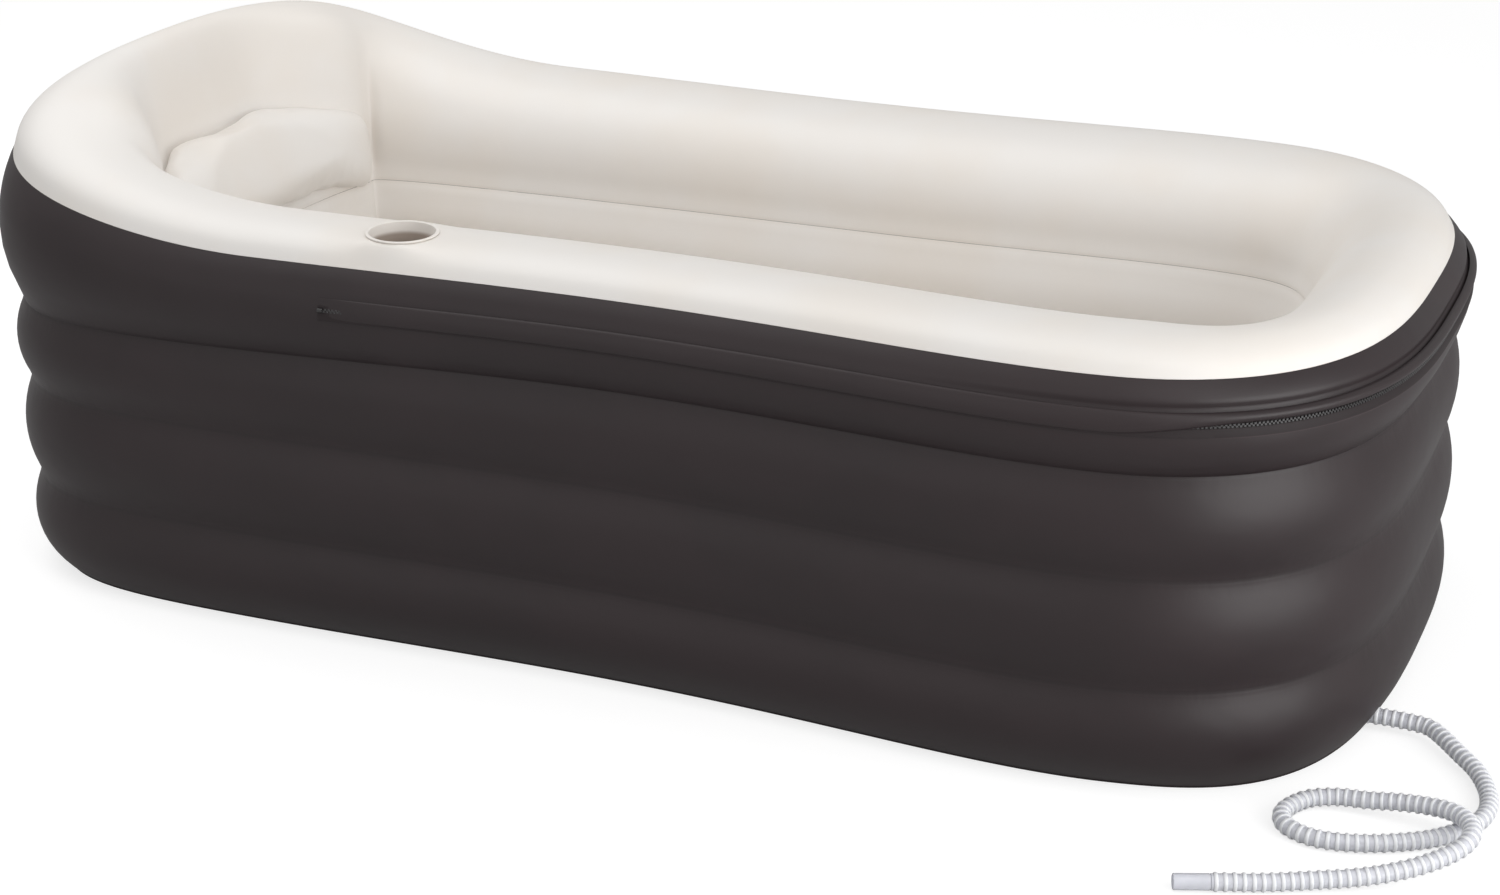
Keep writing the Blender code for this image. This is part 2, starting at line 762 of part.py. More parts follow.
def fullness_at(station):
    """How full the backrest is at this slice, easing off towards its two ends."""
    side_share = min(abs(inner_side(station)) / (BACKREST_WIDTH / 2.0), 1.0)
    return math.sqrt(1.0 - side_share ** BACKREST_END_POWER)


def backrest_loop(station, fullness):
    """Back against the rim's inner slope, front a crowned arc of the given fullness."""
    back = offset_section(rim_skin_section(station)[VALLEY_POINT:], -2.0 * GAP)
    top, bottom = Vector(back[0]), Vector(back[-1])
    chord = bottom - top
    outward = Vector((-chord.y, chord.x)).normalized()
    if outward.x < 0.0:
        outward.negate()
    depth = BACKREST_END_DEPTH + (BACKREST_DEPTH - BACKREST_END_DEPTH) * fullness
    front = []
    for step in range(1, BACKREST_STEPS):
        share = step / BACKREST_STEPS
        swell = math.sqrt(1.0 - abs(2.0 * share - 1.0) ** BACKREST_SWELL_POWER)
        point = bottom.lerp(top, share) + outward * depth * swell
        front.append((point.x, point.y))
    return back + front


def make_backrest(stations):
    chosen = backrest_stations(stations)
    loops = [backrest_loop(station, fullness_at(station)) for station in chosen]
    shape = loft(chosen, loops, closed=False)
    return finish_object("backrest_cushion", shape, CREAM_VINYL), chosen


# Cup holder

def make_cup_holder(rim):
    seat = RIM_HEIGHT + GAP
    outer = CUP_RADIUS + CUP_WALL
    top = seat + CUP_LIP_HEIGHT
    bottom = top - CUP_DEPTH
    profile = [(0.0, bottom - CUP_WALL), (outer, bottom - CUP_WALL), (outer, seat),
               (outer + CUP_LIP_WIDTH, seat), (outer + CUP_LIP_WIDTH, top), (CUP_RADIUS, top),
               (CUP_RADIUS, bottom), (0.0, bottom)]
    frame = Matrix.Translation((CUP_X, CUP_Y, 0.0))
    finish_object("cup_holder", lathe(profile, ROUND_SIDES), CREAM_VINYL, frame)
    hole_frame = Matrix.Translation((CUP_X, CUP_Y, RIM_HEIGHT))
    cut(rim, cylinder_tool("cup_tool", outer + GAP, CUP_DEPTH, hole_frame, ROUND_SIDES))


# Zip

def zip_stations(stations):
    """The slices from the near end of the zip, round the foot, to its far end."""
    count = len(stations)
    start = min(range(count), key=lambda k: stations[k].point.x)
    ring = [stations[(start + k) % count] for k in range(count)]
    chosen = []
    for before, after in zip(ring, ring[1:]):
        x0, x1 = before.point.x, after.point.x
        if x0 < ZIP_END_X <= x1 or x1 < ZIP_END_X <= x0:
            chosen.append(before.blend(after, (ZIP_END_X - x0) / (x1 - x0)))
        if after.point.x > ZIP_END_X:
            chosen.append(after)
    return chosen


def zip_facet(station):
    """The flat strip of the top bulge that carries the zip: its foot, its run and its normal."""
    section = outer_section(station)
    foot, top = section[-1 - BULGE_STEPS // 2], section[-BULGE_STEPS // 2]
    run = (Vector(top) - Vector(foot)).normalized()
    return Vector(foot), run, Vector((-run.y, run.x))


def zip_strip(stations, along, width, lift, height):
    """A strip lying on the zip's facet, given by its place, width, lift and height."""
    loops = []
    for station in stations:
        foot, run, normal = zip_facet(station)
        corners = ((along, lift), (along + width, lift),
                   (along + width, lift + height), (along, lift + height))
        loops.append([tuple(foot + run * s + normal * h) for s, h in corners])
    return loft(stations, loops, closed=False)


def zip_places():
    """Where each strip starts along the facet."""
    lower = ZIP_EDGE_MARGIN
    teeth = lower + ZIP_LOWER_TAPE_WIDTH + GAP
    upper = teeth + ZIP_TEETH_WIDTH + GAP
    welt = upper + ZIP_UPPER_TAPE_WIDTH + GAP
    return lower, teeth, upper, welt


def make_zip(stations):
    route = zip_stations(stations)
    lower, teeth, upper, welt = zip_places()
    for name, along, width in (("zip_tape_lower", lower, ZIP_LOWER_TAPE_WIDTH),
                               ("zip_tape_upper", upper, ZIP_UPPER_TAPE_WIDTH)):
        shape = zip_strip(route, along, width, GAP, ZIP_TAPE_THICKNESS)
        finish_object(name, shape, ZIP_FABRIC)
    shape = zip_strip(route, welt, WELT_WIDTH, GAP, WELT_HEIGHT)
    finish_object("zip_welt", shape, DARK_VINYL)
    shape = zip_strip(trimmed(route), teeth, ZIP_TEETH_WIDTH, GAP, ZIP_TEETH_HEIGHT)
    finish_object("zip_teeth", shape, DARK_PLASTIC)
    for name, first, second in (("zip_stop_near", route[0], route[1]),
                                ("zip_stop_far", route[-1], route[-2])):
        span = (second.point - first.point).length
        ends = [first, first.blend(second, STOP_LENGTH / span)]
        shape = zip_strip(ends, teeth, ZIP_TEETH_WIDTH, GAP, STOP_HEIGHT)
        finish_object(name, shape, DARK_PLASTIC)
    make_slider(stations, teeth)


def trimmed(route):
    """The route without the stretch that each end stop takes."""
    taken = STOP_LENGTH + GAP
    first, second = route[0], route[1]
    start = first.blend(second, taken / (second.point - first.point).length)
    last, before = route[-1], route[-2]
    end = last.blend(before, taken / (before.point - last.point).length)
    return [start] + route[1:-1] + [end]


def far_slice(stations, x):
    """The slice of the far side at a place along the tub."""
    count = len(stations)
    for index in range(count):
        before, after = stations[index], stations[(index + 1) % count]
        if before.point.y > 0.0 and after.point.x <= x < before.point.x:
            share = (x - before.point.x) / (after.point.x - before.point.x)
            return before.blend(after, share), before, after
    raise ValueError("no slice of the far side at this place")


def make_slider(stations, teeth):
    """Slider and pull, on the flat stretch of teeth at the zip's far end."""
    here, before, after = far_slice(stations, SLIDER_X)
    foot, run, _ = zip_facet(here)
    centre = foot + run * (teeth + ZIP_TEETH_WIDTH / 2.0)
    place = here.place(*centre)
    raised = foot + run * (teeth + ZIP_TEETH_WIDTH)
    lowered = foot + run * teeth
    across = (here.place(*raised) - here.place(*lowered)).normalized()
    middles = []
    for end in (before, after):
        end_foot, end_run, _ = zip_facet(end)
        middles.append(end.place(*(end_foot + end_run * (teeth + ZIP_TEETH_WIDTH / 2.0))))
    along = (middles[0] - middles[1]).normalized()
    outward = along.cross(across).normalized()
    if outward.y < 0.0:
        outward.negate()
    frame = axis_frame(place, outward, along)
    half_length = SLIDER_LENGTH / 2.0
    half_width = SLIDER_WIDTH / 2.0
    tunnel = ZIP_TEETH_WIDTH / 2.0 + SLIDER_CLEARANCE
    skirt = GAP + ZIP_TAPE_THICKNESS + SLIDER_CLEARANCE
    roof = GAP + ZIP_TEETH_HEIGHT + SLIDER_CLEARANCE
    top = roof + SLIDER_ROOF
    bar_room = PULL_THICKNESS + 2.0 * PULL_CLEARANCE
    bridge_top = top + bar_room + BRIDGE_BAR
    half_bridge = BRIDGE_LENGTH / 2.0
    half_bar = BRIDGE_WIDTH / 2.0
    boxes = [
        ((-half_length, -half_width, roof), (half_length, half_width, top)),
        ((-half_length, -half_width, skirt), (half_length, -tunnel, roof + GAP)),
        ((-half_length, tunnel, skirt), (half_length, half_width, roof + GAP)),
        ((-half_bridge, -half_bar, top - GAP), (-half_bridge + BRIDGE_BAR, half_bar, bridge_top)),
        ((half_bridge - BRIDGE_BAR, -half_bar, top - GAP), (half_bridge, half_bar, bridge_top)),
        ((-half_bridge, -half_bar, bridge_top - BRIDGE_BAR), (half_bridge, half_bar, bridge_top))]
    join_boxes("zip_slider", boxes, DARK_PLASTIC, frame)
    pivot = Vector((0.0, 0.0, top + PULL_CLEARANCE + PULL_THICKNESS / 2.0))
    pull_frame = frame @ Matrix.Translation(pivot)
    pull_half = PULL_THICKNESS / 2.0
    outer_half = PULL_WIDTH / 2.0
    slot_half = PULL_SLOT_WIDTH / 2.0
    pull_boxes = [
        ((-pull_half, -outer_half, -pull_half), (pull_half, outer_half, pull_half)),
        ((-pull_half, -outer_half, -pull_half), (PULL_SLOT_LENGTH, -slot_half, pull_half)),
        ((-pull_half, slot_half, -pull_half), (PULL_SLOT_LENGTH, outer_half, pull_half)),
        ((PULL_SLOT_LENGTH - GAP, -outer_half, -pull_half), (PULL_LENGTH, outer_half, pull_half))]
    join_boxes("zip_pull", pull_boxes, DARK_PLASTIC, pull_frame)
    report_frame("zip slider", frame)
    report_frame("zip pull", pull_frame)


def report_frame(label, frame):
    """Prints a moving piece's origin and its three directions."""
    place = [round(v, 5) for v in frame.translation]
    columns = [[round(v, 5) for v in frame.col[k][:3]] for k in range(3)]
    print(label, "origin", place, "x", columns[0], "y", columns[1], "z", columns[2])


# Valves

def make_wall_valve(stations, wall):
    """Screw-capped inflation valve in the second bulge from the top, on the far side."""
    here, _, _ = far_slice(stations, WALL_VALVE_X)
    height = (MIDDLE_CREASE_HEIGHT + here.upper_crease) / 2.0
    crown = here.place(-BULGE_DEPTH, height)
    outward = Vector((-here.inward.x, -here.inward.y, 0.0)).normalized()
    frame = axis_frame(crown, outward, Vector((0.0, 0.0, 1.0)))
    face, back = WALL_VALVE_PROUD, -WALL_VALVE_DEPTH
    ring = [(WALL_VALVE_BORE, back), (WALL_VALVE_RADIUS, back), (WALL_VALVE_RADIUS, face),
            (WALL_VALVE_BORE, face)]
    body = finish_object("wall_valve_body", lathe(ring, ROUND_SIDES, hollow=True), DARK_PLASTIC, frame)
    seat_overlap = WALL_VALVE_BORE + (WALL_VALVE_RADIUS - WALL_VALVE_BORE) / 2.0
    half_bar = SPIDER_WIDTH / 2.0
    spider = add_box(bmesh.new(), (-seat_overlap, -half_bar, back),
                     (seat_overlap, half_bar, back + SPIDER_THICKNESS))
    unite(body, finish_object("spider_tool", spider, None, frame, cutter=True))
    hub_frame = frame @ Matrix.Translation((0.0, 0.0, back))
    cut(body, cylinder_tool("stem_tool", STEM_RADIUS + STEM_CLEARANCE,
                            2.0 * (SPIDER_THICKNESS + CUT_OVERRUN), hub_frame, SMALL_SIDES))
    hole_frame = frame @ Matrix.Translation((0.0, 0.0, -BULGE_DEPTH / 2.0))
    cut(wall, cylinder_tool("valve_tool", WALL_VALVE_RADIUS + GAP, BULGE_DEPTH + 2.0 * CUT_OVERRUN,
                            hole_frame, ROUND_SIDES))
    make_valve_flap(frame, back)
    make_valve_cap(frame, face)
    report_frame("wall valve", frame)


def make_valve_flap(frame, back):
    """Soft non-return disc inside, hung on a stem through the body's cross bar."""
    seat = back - GAP
    shank_top = back + SPIDER_THICKNESS + FLAP_TRAVEL + GAP
    profile = [(0.0, seat - FLAP_THICKNESS), (FLAP_RADIUS, seat - FLAP_THICKNESS),
               (FLAP_RADIUS, seat), (STEM_RADIUS, seat), (STEM_RADIUS, shank_top),
               (STEM_HEAD_RADIUS, shank_top), (STEM_HEAD_RADIUS, shank_top + STEM_HEAD_THICKNESS),
               (0.0, shank_top + STEM_HEAD_THICKNESS)]
    finish_object("wall_valve_flap", lathe(profile, SMALL_SIDES), RUBBER, frame)


def make_valve_cap(frame, face):
    """Screw cap with a skirt in the valve's bore and a grip across its face."""
    low = face + GAP
    high = low + WALL_VALVE_CAP_THICKNESS
    skirt = WALL_VALVE_BORE - GAP
    profile = [(0.0, low), (skirt - WALL_VALVE_CAP_WALL, low),
               (skirt - WALL_VALVE_CAP_WALL, low - WALL_VALVE_CAP_SKIRT),
               (skirt, low - WALL_VALVE_CAP_SKIRT), (skirt, low),
               (WALL_VALVE_CAP_RADIUS, low), (WALL_VALVE_CAP_RADIUS, high), (0.0, high)]
    cap = finish_object("wall_valve_cap", lathe(profile, ROUND_SIDES), DARK_PLASTIC, frame)
    half = GRIP_WIDTH / 2.0
    reach = WALL_VALVE_BORE
    grip = add_box(bmesh.new(), (-reach, -half, high - GAP), (reach, half, high + GRIP_HEIGHT))
    unite(cap, finish_object("grip_tool", grip, None, frame, cutter=True))


def make_small_valve(prefix, frame, cushion):
    """A flanged valve in a cushion, with a pull-out stopper. The frame's Z points out."""
    tube, bore = SMALL_VALVE_TUBE_RADIUS, SMALL_VALVE_BORE
    seat = SMALL_VALVE_FLANGE_THICKNESS
    profile = [(bore, -SMALL_VALVE_TUBE_LENGTH), (tube, -SMALL_VALVE_TUBE_LENGTH), (tube, 0.0),
               (SMALL_VALVE_FLANGE_RADIUS, 0.0), (SMALL_VALVE_FLANGE_RADIUS, seat), (bore, seat)]
    finish_object(prefix + "_valve_body", lathe(profile, SMALL_SIDES, hollow=True), WHITE_PLASTIC,
                  frame)
    pin = bore - STOPPER_CLEARANCE
    low = seat + GAP
    head = [(0.0, low - STOPPER_PIN_LENGTH), (pin, low - STOPPER_PIN_LENGTH), (pin, low),
            (STOPPER_HEAD_RADIUS, low), (STOPPER_HEAD_RADIUS, low + STOPPER_HEAD_THICKNESS),
            (0.0, low + STOPPER_HEAD_THICKNESS)]
    finish_object(prefix + "_valve_stopper", lathe(head, SMALL_SIDES), WHITE_PLASTIC, frame)
    depth = SMALL_VALVE_TUBE_LENGTH + GAP
    pocket = [(0.0, -depth), (tube + GAP, -depth), (tube + GAP, -GAP),
              (SMALL_VALVE_FLANGE_RADIUS + GAP, -GAP),
              (SMALL_VALVE_FLANGE_RADIUS + GAP, CUT_OVERRUN), (0.0, CUT_OVERRUN)]
    tool = finish_object(prefix + "_valve_tool", lathe(pocket, SMALL_SIDES), None, frame, cutter=True)
    cut(cushion, tool)
    report_frame(prefix + " valve", frame)


def make_cushion_valves(floor, backrest, slices):
    top = Vector((FLOOR_VALVE_X, FLOOR_VALVE_Y, FLOOR_CUSHION_HEIGHT - FLOOR_CUSHION_CROWN))
    make_small_valve("floor", axis_frame(top, Vector((0.0, 0.0, 1.0)), Vector((1.0, 0.0, 0.0))), floor)
    here = min(slices, key=lambda s: abs(inner_side(s) - BACKREST_VALVE_Y))
    loop = backrest_loop(here, fullness_at(here))
    points = [here.place(*pair) for pair in loop]
    upper, lower = points[-BACKREST_STEPS // 2], points[-BACKREST_STEPS // 2 - 1]
    slope = (upper - lower).normalized()
    inward = Vector((here.inward.x, here.inward.y, 0.0)).normalized()
    side = Vector((-inward.y, inward.x, 0.0))
    normal = slope.cross(side)
    if normal.x < 0.0:
        normal.negate()
    centre = (upper + lower) / 2.0 - normal * SMALL_VALVE_FLANGE_THICKNESS
    centre += side * BACKREST_VALVE_SHIFT
    make_small_valve("backrest", axis_frame(centre, normal, side), backrest)


# Drain

def drain_places(stations):
    """Where the drain's outlet face and inlet face stand along X."""
    count = len(stations)
    for index in range(count):
        before, after = stations[index], stations[(index + 1) % count]
        if before.point.x > 0.0 and before.point.y <= DRAIN_Y < after.point.y:
            share = (DRAIN_Y - before.point.y) / (after.point.y - before.point.y)
            here = before.blend(after, share)
    crease = here.point.x
    return {"outlet_face": crease + OUTLET_FACE,
            "inlet_face": crease - here.wall_width - INLET_FACE}


def make_drain(outer, inner, drain):
    """Outlet in the outer skin, tube through the air chamber, inlet in the inner skin, plug."""
    out_face, in_face = drain["outlet_face"], drain["inlet_face"]
    axis = Vector((1.0, 0.0, 0.0))
    up = Vector((0.0, 0.0, 1.0))
    frame = axis_frame(Vector((0.0, DRAIN_Y, DRAIN_HEIGHT)), axis, up)
    shoulder = out_face - OUTLET_FACE - OUTLET_DEPTH
    spigot_radius = HOSE_BORE_RADIUS * math.cos(math.pi / HOSE_SIDES) - GAP
    outlet = [(DRAIN_BORE, shoulder - NECK_LENGTH), (NECK_RADIUS, shoulder - NECK_LENGTH),
              (NECK_RADIUS, shoulder), (OUTLET_RADIUS, shoulder), (OUTLET_RADIUS, out_face),
              (spigot_radius, out_face), (spigot_radius, out_face + SPIGOT_LENGTH),
              (DRAIN_BORE, out_face + SPIGOT_LENGTH)]
    finish_object("drain_outlet", lathe(outlet, SMALL_SIDES, hollow=True), CLEAR_HOSE, frame)
    inner_shoulder = in_face + INLET_LENGTH
    socket = PLUG_RADIUS + PLUG_CLEARANCE
    floor_of_socket = in_face + PLUG_DEPTH + PLUG_CLEARANCE
    inlet = [(socket, in_face), (INLET_RADIUS, in_face), (INLET_RADIUS, inner_shoulder),
             (NECK_RADIUS, inner_shoulder), (NECK_RADIUS, inner_shoulder + NECK_LENGTH),
             (DRAIN_BORE, inner_shoulder + NECK_LENGTH), (DRAIN_BORE, floor_of_socket),
             (socket, floor_of_socket)]
    finish_object("drain_inlet", lathe(inlet, SMALL_SIDES, hollow=True), WHITE_PLASTIC, frame)
    tube_bore = NECK_RADIUS + GAP
    tube_start, tube_end = inner_shoulder + GAP, shoulder - GAP
    tube = [(tube_bore, tube_start), (DRAIN_TUBE_RADIUS, tube_start),
            (DRAIN_TUBE_RADIUS, tube_end), (tube_bore, tube_end)]
    finish_object("drain_tube", lathe(tube, SMALL_SIDES, hollow=True), CREAM_VINYL, frame)
    make_plug(in_face)
    for wall, radius, centre, length in (
            (outer, OUTLET_RADIUS, out_face - OUTLET_FACE, 2.0 * (BASE_INSET + CUT_OVERRUN)),
            (inner, INLET_RADIUS, in_face + INLET_FACE, 2.0 * INLET_FACE)):
        hole = frame @ Matrix.Translation((0.0, 0.0, centre))
        cut(wall, cylinder_tool("drain_tool_" + wall.name, radius + GAP, length, hole, ROUND_SIDES))


def make_plug(in_face):
    """Push-in plug with a pull tab. Its frame's Z points back into the tub."""
    place = Vector((in_face, DRAIN_Y, DRAIN_HEIGHT))
    frame = axis_frame(place, Vector((-1.0, 0.0, 0.0)), Vector((0.0, 0.0, 1.0)))
    high = GAP + PLUG_HEAD_THICKNESS
    profile = [(0.0, -PLUG_DEPTH), (PLUG_RADIUS, -PLUG_DEPTH), (PLUG_RADIUS, GAP),
               (PLUG_HEAD_RADIUS, GAP), (PLUG_HEAD_RADIUS, high), (0.0, high)]
    plug = finish_object("drain_plug", lathe(profile, SMALL_SIDES), WHITE_PLASTIC, frame)
    half_width, half = PLUG_TAB_WIDTH / 2.0, PLUG_TAB_THICKNESS / 2.0
    tab = add_box(bmesh.new(), (-half_width, -half, high - GAP),
                  (half_width, half, high + PLUG_TAB_LENGTH))
    unite(plug, finish_object("tab_tool", tab, None, frame, cutter=True))
    report_frame("drain plug", frame)


# Hose

def curve_samples(points):
    """A smooth curve through the points, as many short straight steps."""
    samples = []
    last = len(points) - 1
    for index in range(last):
        before = points[max(index - 1, 0)]
        start, end = points[index], points[index + 1]
        after = points[min(index + 2, last)]
        for step in range(ROUTE_SAMPLES):
            t = step / ROUTE_SAMPLES
            bend = (2.0 * before - 5.0 * start + 4.0 * end - after) * t * t
            twist = (3.0 * start - before - 3.0 * end + after) * t * t * t
            samples.append((2.0 * start + (end - before) * t + bend + twist) / 2.0)
    samples.append(points[-1])
    return samples


def hose_line(drain):
    """The hose's centre line from the outlet's face to the cuff, and the cuff's direction.

    Both ends run straight for one diameter.
    """
    start = Vector((drain["outlet_face"] + GAP, DRAIN_Y, DRAIN_HEIGHT))
    straight = 2.0 * HOSE_RADIUS
    rest = HOSE_RADIUS + HOSE_FLOOR_CLEARANCE
    points = [start + Vector((straight, 0.0, 0.0))]
    points += [Vector((TUB_LENGTH / 2.0 + x, y, rest + lift)) for x, y, lift in HOSE_ROUTE]
    heading = (points[-1] - points[-2]).normalized()
    return [start] + curve_samples(points) + [points[-1] + heading * straight], heading


def points_along(line, distances):
    """Points and directions at the given distances along a line of samples."""
    reached = [0.0]
    for before, after in zip(line, line[1:]):
        reached.append(reached[-1] + (after - before).length)
    placed = []
    index = 0
    for wanted in distances:
        while index < len(line) - 2 and reached[index + 1] < wanted:
            index += 1
        span = reached[index + 1] - reached[index]
        share = (wanted - reached[index]) / span
        placed.append((line[index].lerp(line[index + 1], share),
                       (line[index + 1] - line[index]).normalized()))
    return placed


def line_length(line):
    return sum((b - a).length for a, b in zip(line, line[1:]))


def tube_ring(shape, centre, direction, radius):
    """One ring of points round the line, with a level side direction."""
    level = direction.cross(Vector((0.0, 0.0, 1.0))).normalized()
    upright = level.cross(direction).normalized()
    ring = []
    for step in range(HOSE_SIDES):
        angle = math.tau * (step + 0.5) / HOSE_SIDES
        spoke = level * math.cos(angle) + upright * math.sin(angle)
        ring.append(shape.verts.new(centre + spoke * radius))
    return ring


def tube_shape(line, outer, inner_radius, inner_step):
    """A tube with a plain bore. The outer list holds (distance, radius) pairs."""
    shape = bmesh.new()
    length = line_length(line)
    places = points_along(line, [distance for distance, _ in outer])
    rings = [tube_ring(shape, centre, direction, radius)
             for (centre, direction), (_, radius) in zip(places, outer)]
    steps = max(round(length / inner_step), 1)
    bore = points_along(line, [length * k / steps for k in range(steps + 1)])
    bore_rings = [tube_ring(shape, centre, direction, inner_radius) for centre, direction in bore]
    loop = rings + bore_rings[::-1]
    for first, second in zip(loop, loop[1:] + loop[:1]):
        for index in range(HOSE_SIDES):
            after = (index + 1) % HOSE_SIDES
            shape.faces.new((first[index], first[after], second[after], second[index]))
    return shape


def least_gap(line):
    """The smallest clear distance between two strands of the hose, measured on its points."""
    length = line_length(line)
    count = int(length / HOSE_RADIUS)
    places = [p for p, _ in points_along(line, [length * k / count for k in range(count + 1)])]
    skip = math.ceil(4.0 * HOSE_RADIUS / (length / count))
    nearest = math.inf
    for index, point in enumerate(places):
        for other in places[index + skip:]:
            nearest = min(nearest, (other - point).length)
    return nearest - 2.0 * HOSE_RADIUS


def make_hose(drain):
    line, heading = hose_line(drain)
    length = line_length(line)
    ribs = int(length / HOSE_RIB_PITCH)
    pitch = length / ribs
    outer = []
    for rib in range(ribs):
        outer.append((rib * pitch, HOSE_GROOVE_RADIUS))
        outer.append(((rib + 0.5) * pitch, HOSE_RADIUS))
    outer.append((length, HOSE_GROOVE_RADIUS))
    shape = tube_shape(line, outer, HOSE_BORE_RADIUS, HOSE_BORE_STEP)
    finish_object("drain_hose", shape, CLEAR_HOSE)
    start = line[-1] + heading * GAP
    cuff_line = [start, start + heading * CUFF_LENGTH]
    cuff = tube_shape(cuff_line, [(0.0, CUFF_RADIUS), (CUFF_LENGTH, CUFF_RADIUS)],
                      CUFF_BORE_RADIUS, CUFF_LENGTH)
    finish_object("hose_end_cuff", cuff, CLEAR_HOSE)
    print("hose length", round(length, 4), "ribs", ribs, "least gap", round(least_gap(line), 5))


def main():
    clear_scene()
    stations = make_stations()
    outer, rim, inner = make_wall(stations)
    make_webs(stations)
    make_base(stations)
    drain = drain_places(stations)
    floor = make_floor_cushion(stations, drain)
    backrest, slices = make_backrest(stations)
    make_cup_holder(rim)
    make_zip(stations)
    make_wall_valve(stations, outer)
    make_cushion_valves(floor, backrest, slices)
    make_drain(outer, inner, drain)
    make_hose(drain)


main()
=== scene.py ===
# Inflatable bathtub: the looks of the part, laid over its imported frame.
# Lengths are in metres, +Z is up, and the tub's head end is towards -X.
# The tub's sizes and curves repeat those of the part, so every piece goes where its solid is.

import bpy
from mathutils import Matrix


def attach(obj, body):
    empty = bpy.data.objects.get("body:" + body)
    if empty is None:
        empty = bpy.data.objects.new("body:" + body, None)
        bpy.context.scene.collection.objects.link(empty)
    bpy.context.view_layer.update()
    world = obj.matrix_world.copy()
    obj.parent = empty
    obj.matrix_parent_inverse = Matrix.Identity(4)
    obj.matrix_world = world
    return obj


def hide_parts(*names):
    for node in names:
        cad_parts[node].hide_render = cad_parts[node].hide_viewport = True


bl_info = {
    "name": "Inflatable Bathtub",
    "version": (1, 0, 0),
    "blender": (4, 5, 0),
    "location": "View3D > Sidebar > Bathtub",
    "description": "Builds an inflatable bathtub with its cushions, zip, valves and drain hose",
    "category": "Add Mesh",
}

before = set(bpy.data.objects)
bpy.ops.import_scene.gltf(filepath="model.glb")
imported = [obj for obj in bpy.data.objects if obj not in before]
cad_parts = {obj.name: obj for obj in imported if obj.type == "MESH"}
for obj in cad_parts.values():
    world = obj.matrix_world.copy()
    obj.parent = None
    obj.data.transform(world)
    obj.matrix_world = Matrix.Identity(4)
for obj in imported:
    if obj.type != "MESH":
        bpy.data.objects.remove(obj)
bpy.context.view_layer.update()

import math

import bpy
from mathutils import Matrix, Vector
from mathutils.kdtree import KDTree
from bpy.props import FloatProperty, FloatVectorProperty, IntProperty, PointerProperty

# Plan of the tub
TUB_LENGTH = 1.678
PLAN_WIDTH = 0.898
HEAD_END_POWERS = (11.0, 2.435)
FOOT_END_POWERS = (5.675, 2.841)
TAPER_SHARE = 0.038
WAIST_SHARE = 0.083
WAIST_PLACE = 0.088
WAIST_REACH = 0.45

# Heights and thickness of the wall
RIM_HEIGHT = 0.475
HEAD_RISE = 0.094
RISE_START = 0.395
RISE_REACH = 1.196
LOWER_CREASE_HEIGHT = 0.116
MIDDLE_CREASE_HEIGHT = 0.237
UPPER_CREASE_HEIGHT = 0.349
CREASE_DROOP = 0.016
DROOP_START = 0.10
DROOP_REACH = 0.80
TOP_BULGE_DEPTH = 0.023
BULGE_DEPTH = 0.016
INNER_BULGE_DEPTH = 0.020
BASE_INSET = 0.018
FOOT_BASE_INSET = 0.008
BASE_INSET_POWER = 3.0
SIDE_WALL_WIDTH = 0.163
HEAD_WALL_WIDTH = 0.178
FOOT_WALL_WIDTH = 0.150
BASE_THICKNESS = 0.0012
GAP = 0.0003
BASE_TOP = BASE_THICKNESS + GAP

# Rim sections: shares of the wall's width and of the height from crease to crest
SIDE_RIM_SHARES = (
    (0.00, 0.79), (0.05, 0.90), (0.15, 0.97), (0.32, 1.00), (0.56, 0.98),
    (0.77, 0.91), (0.93, 0.77), (1.03, 0.55), (1.05, 0.29), (1.00, 0.00))
HEAD_RIM_SHARES = (
    (0.00, 0.79), (0.05, 0.89), (0.14, 0.96), (0.27, 1.00), (0.39, 0.96),
    (0.48, 0.82), (0.53, 0.64), (0.58, 0.50), (0.79, 0.25), (1.00, 0.00))
FOOT_RIM_SHARES = (
    (0.00, 0.79), (0.06, 0.90), (0.17, 0.97), (0.31, 1.00), (0.48, 0.97),
    (0.64, 0.87), (0.79, 0.71), (0.91, 0.49), (0.99, 0.24), (1.00, 0.00))
CORNER_RIM_SHARES = (
    (0.00, 0.79), (0.05, 0.90), (0.15, 0.97), (0.30, 1.00), (0.52, 0.985),
    (0.74, 0.93), (0.90, 0.77), (0.975, 0.46), (0.995, 0.22), (1.00, 0.00))
CORNER_FACING_SHARE = 0.30
SCOOP_HALF_WIDTH = 0.235
SCOOP_REACH = 0.16
FOOT_LEAN = 0.010
FOOT_BLEND_START = 0.58
FOOT_BLEND_REACH = 0.20
VALLEY_POINT = 7

# Cushions
BACKREST_WIDTH = 0.45
BACKREST_DEPTH = 0.048
BACKREST_END_DEPTH = 0.024
BACKREST_SWELL_POWER = 4.0
BACKREST_END_POWER = 4.0
BACKREST_TOP_DROP = 0.002
BACKREST_DROP_POWER = 4.0
PAD_SLACK = 0.004
BACKREST_VOXEL, BACKREST_SWELL = 0.005, 0.012
AIR_PRESSURE = 4.0
AIR_FRAMES = 20
FLOOR_CUSHION_HEIGHT = 0.055
FLOOR_CUSHION_CROWN = 0.008
FLOOR_CUSHION_DRAW = 0.014
FLOOR_CUSHION_CLEARANCE = 0.0010
FLOOR_CUSHION_VOXEL, FLOOR_CUSHION_SWELL = 0.006, 0.006
CUSHION_VALVE_SEAT_RADIUS, CUSHION_VALVE_SEAT_REACH = 0.013, 0.030
CUSHION_VALVE_HOLE_RADIUS = 0.0073
CUSHION_VALVE_HOLE_LOW, CUSHION_VALVE_HOLE_HIGH = -0.0133, 0.02

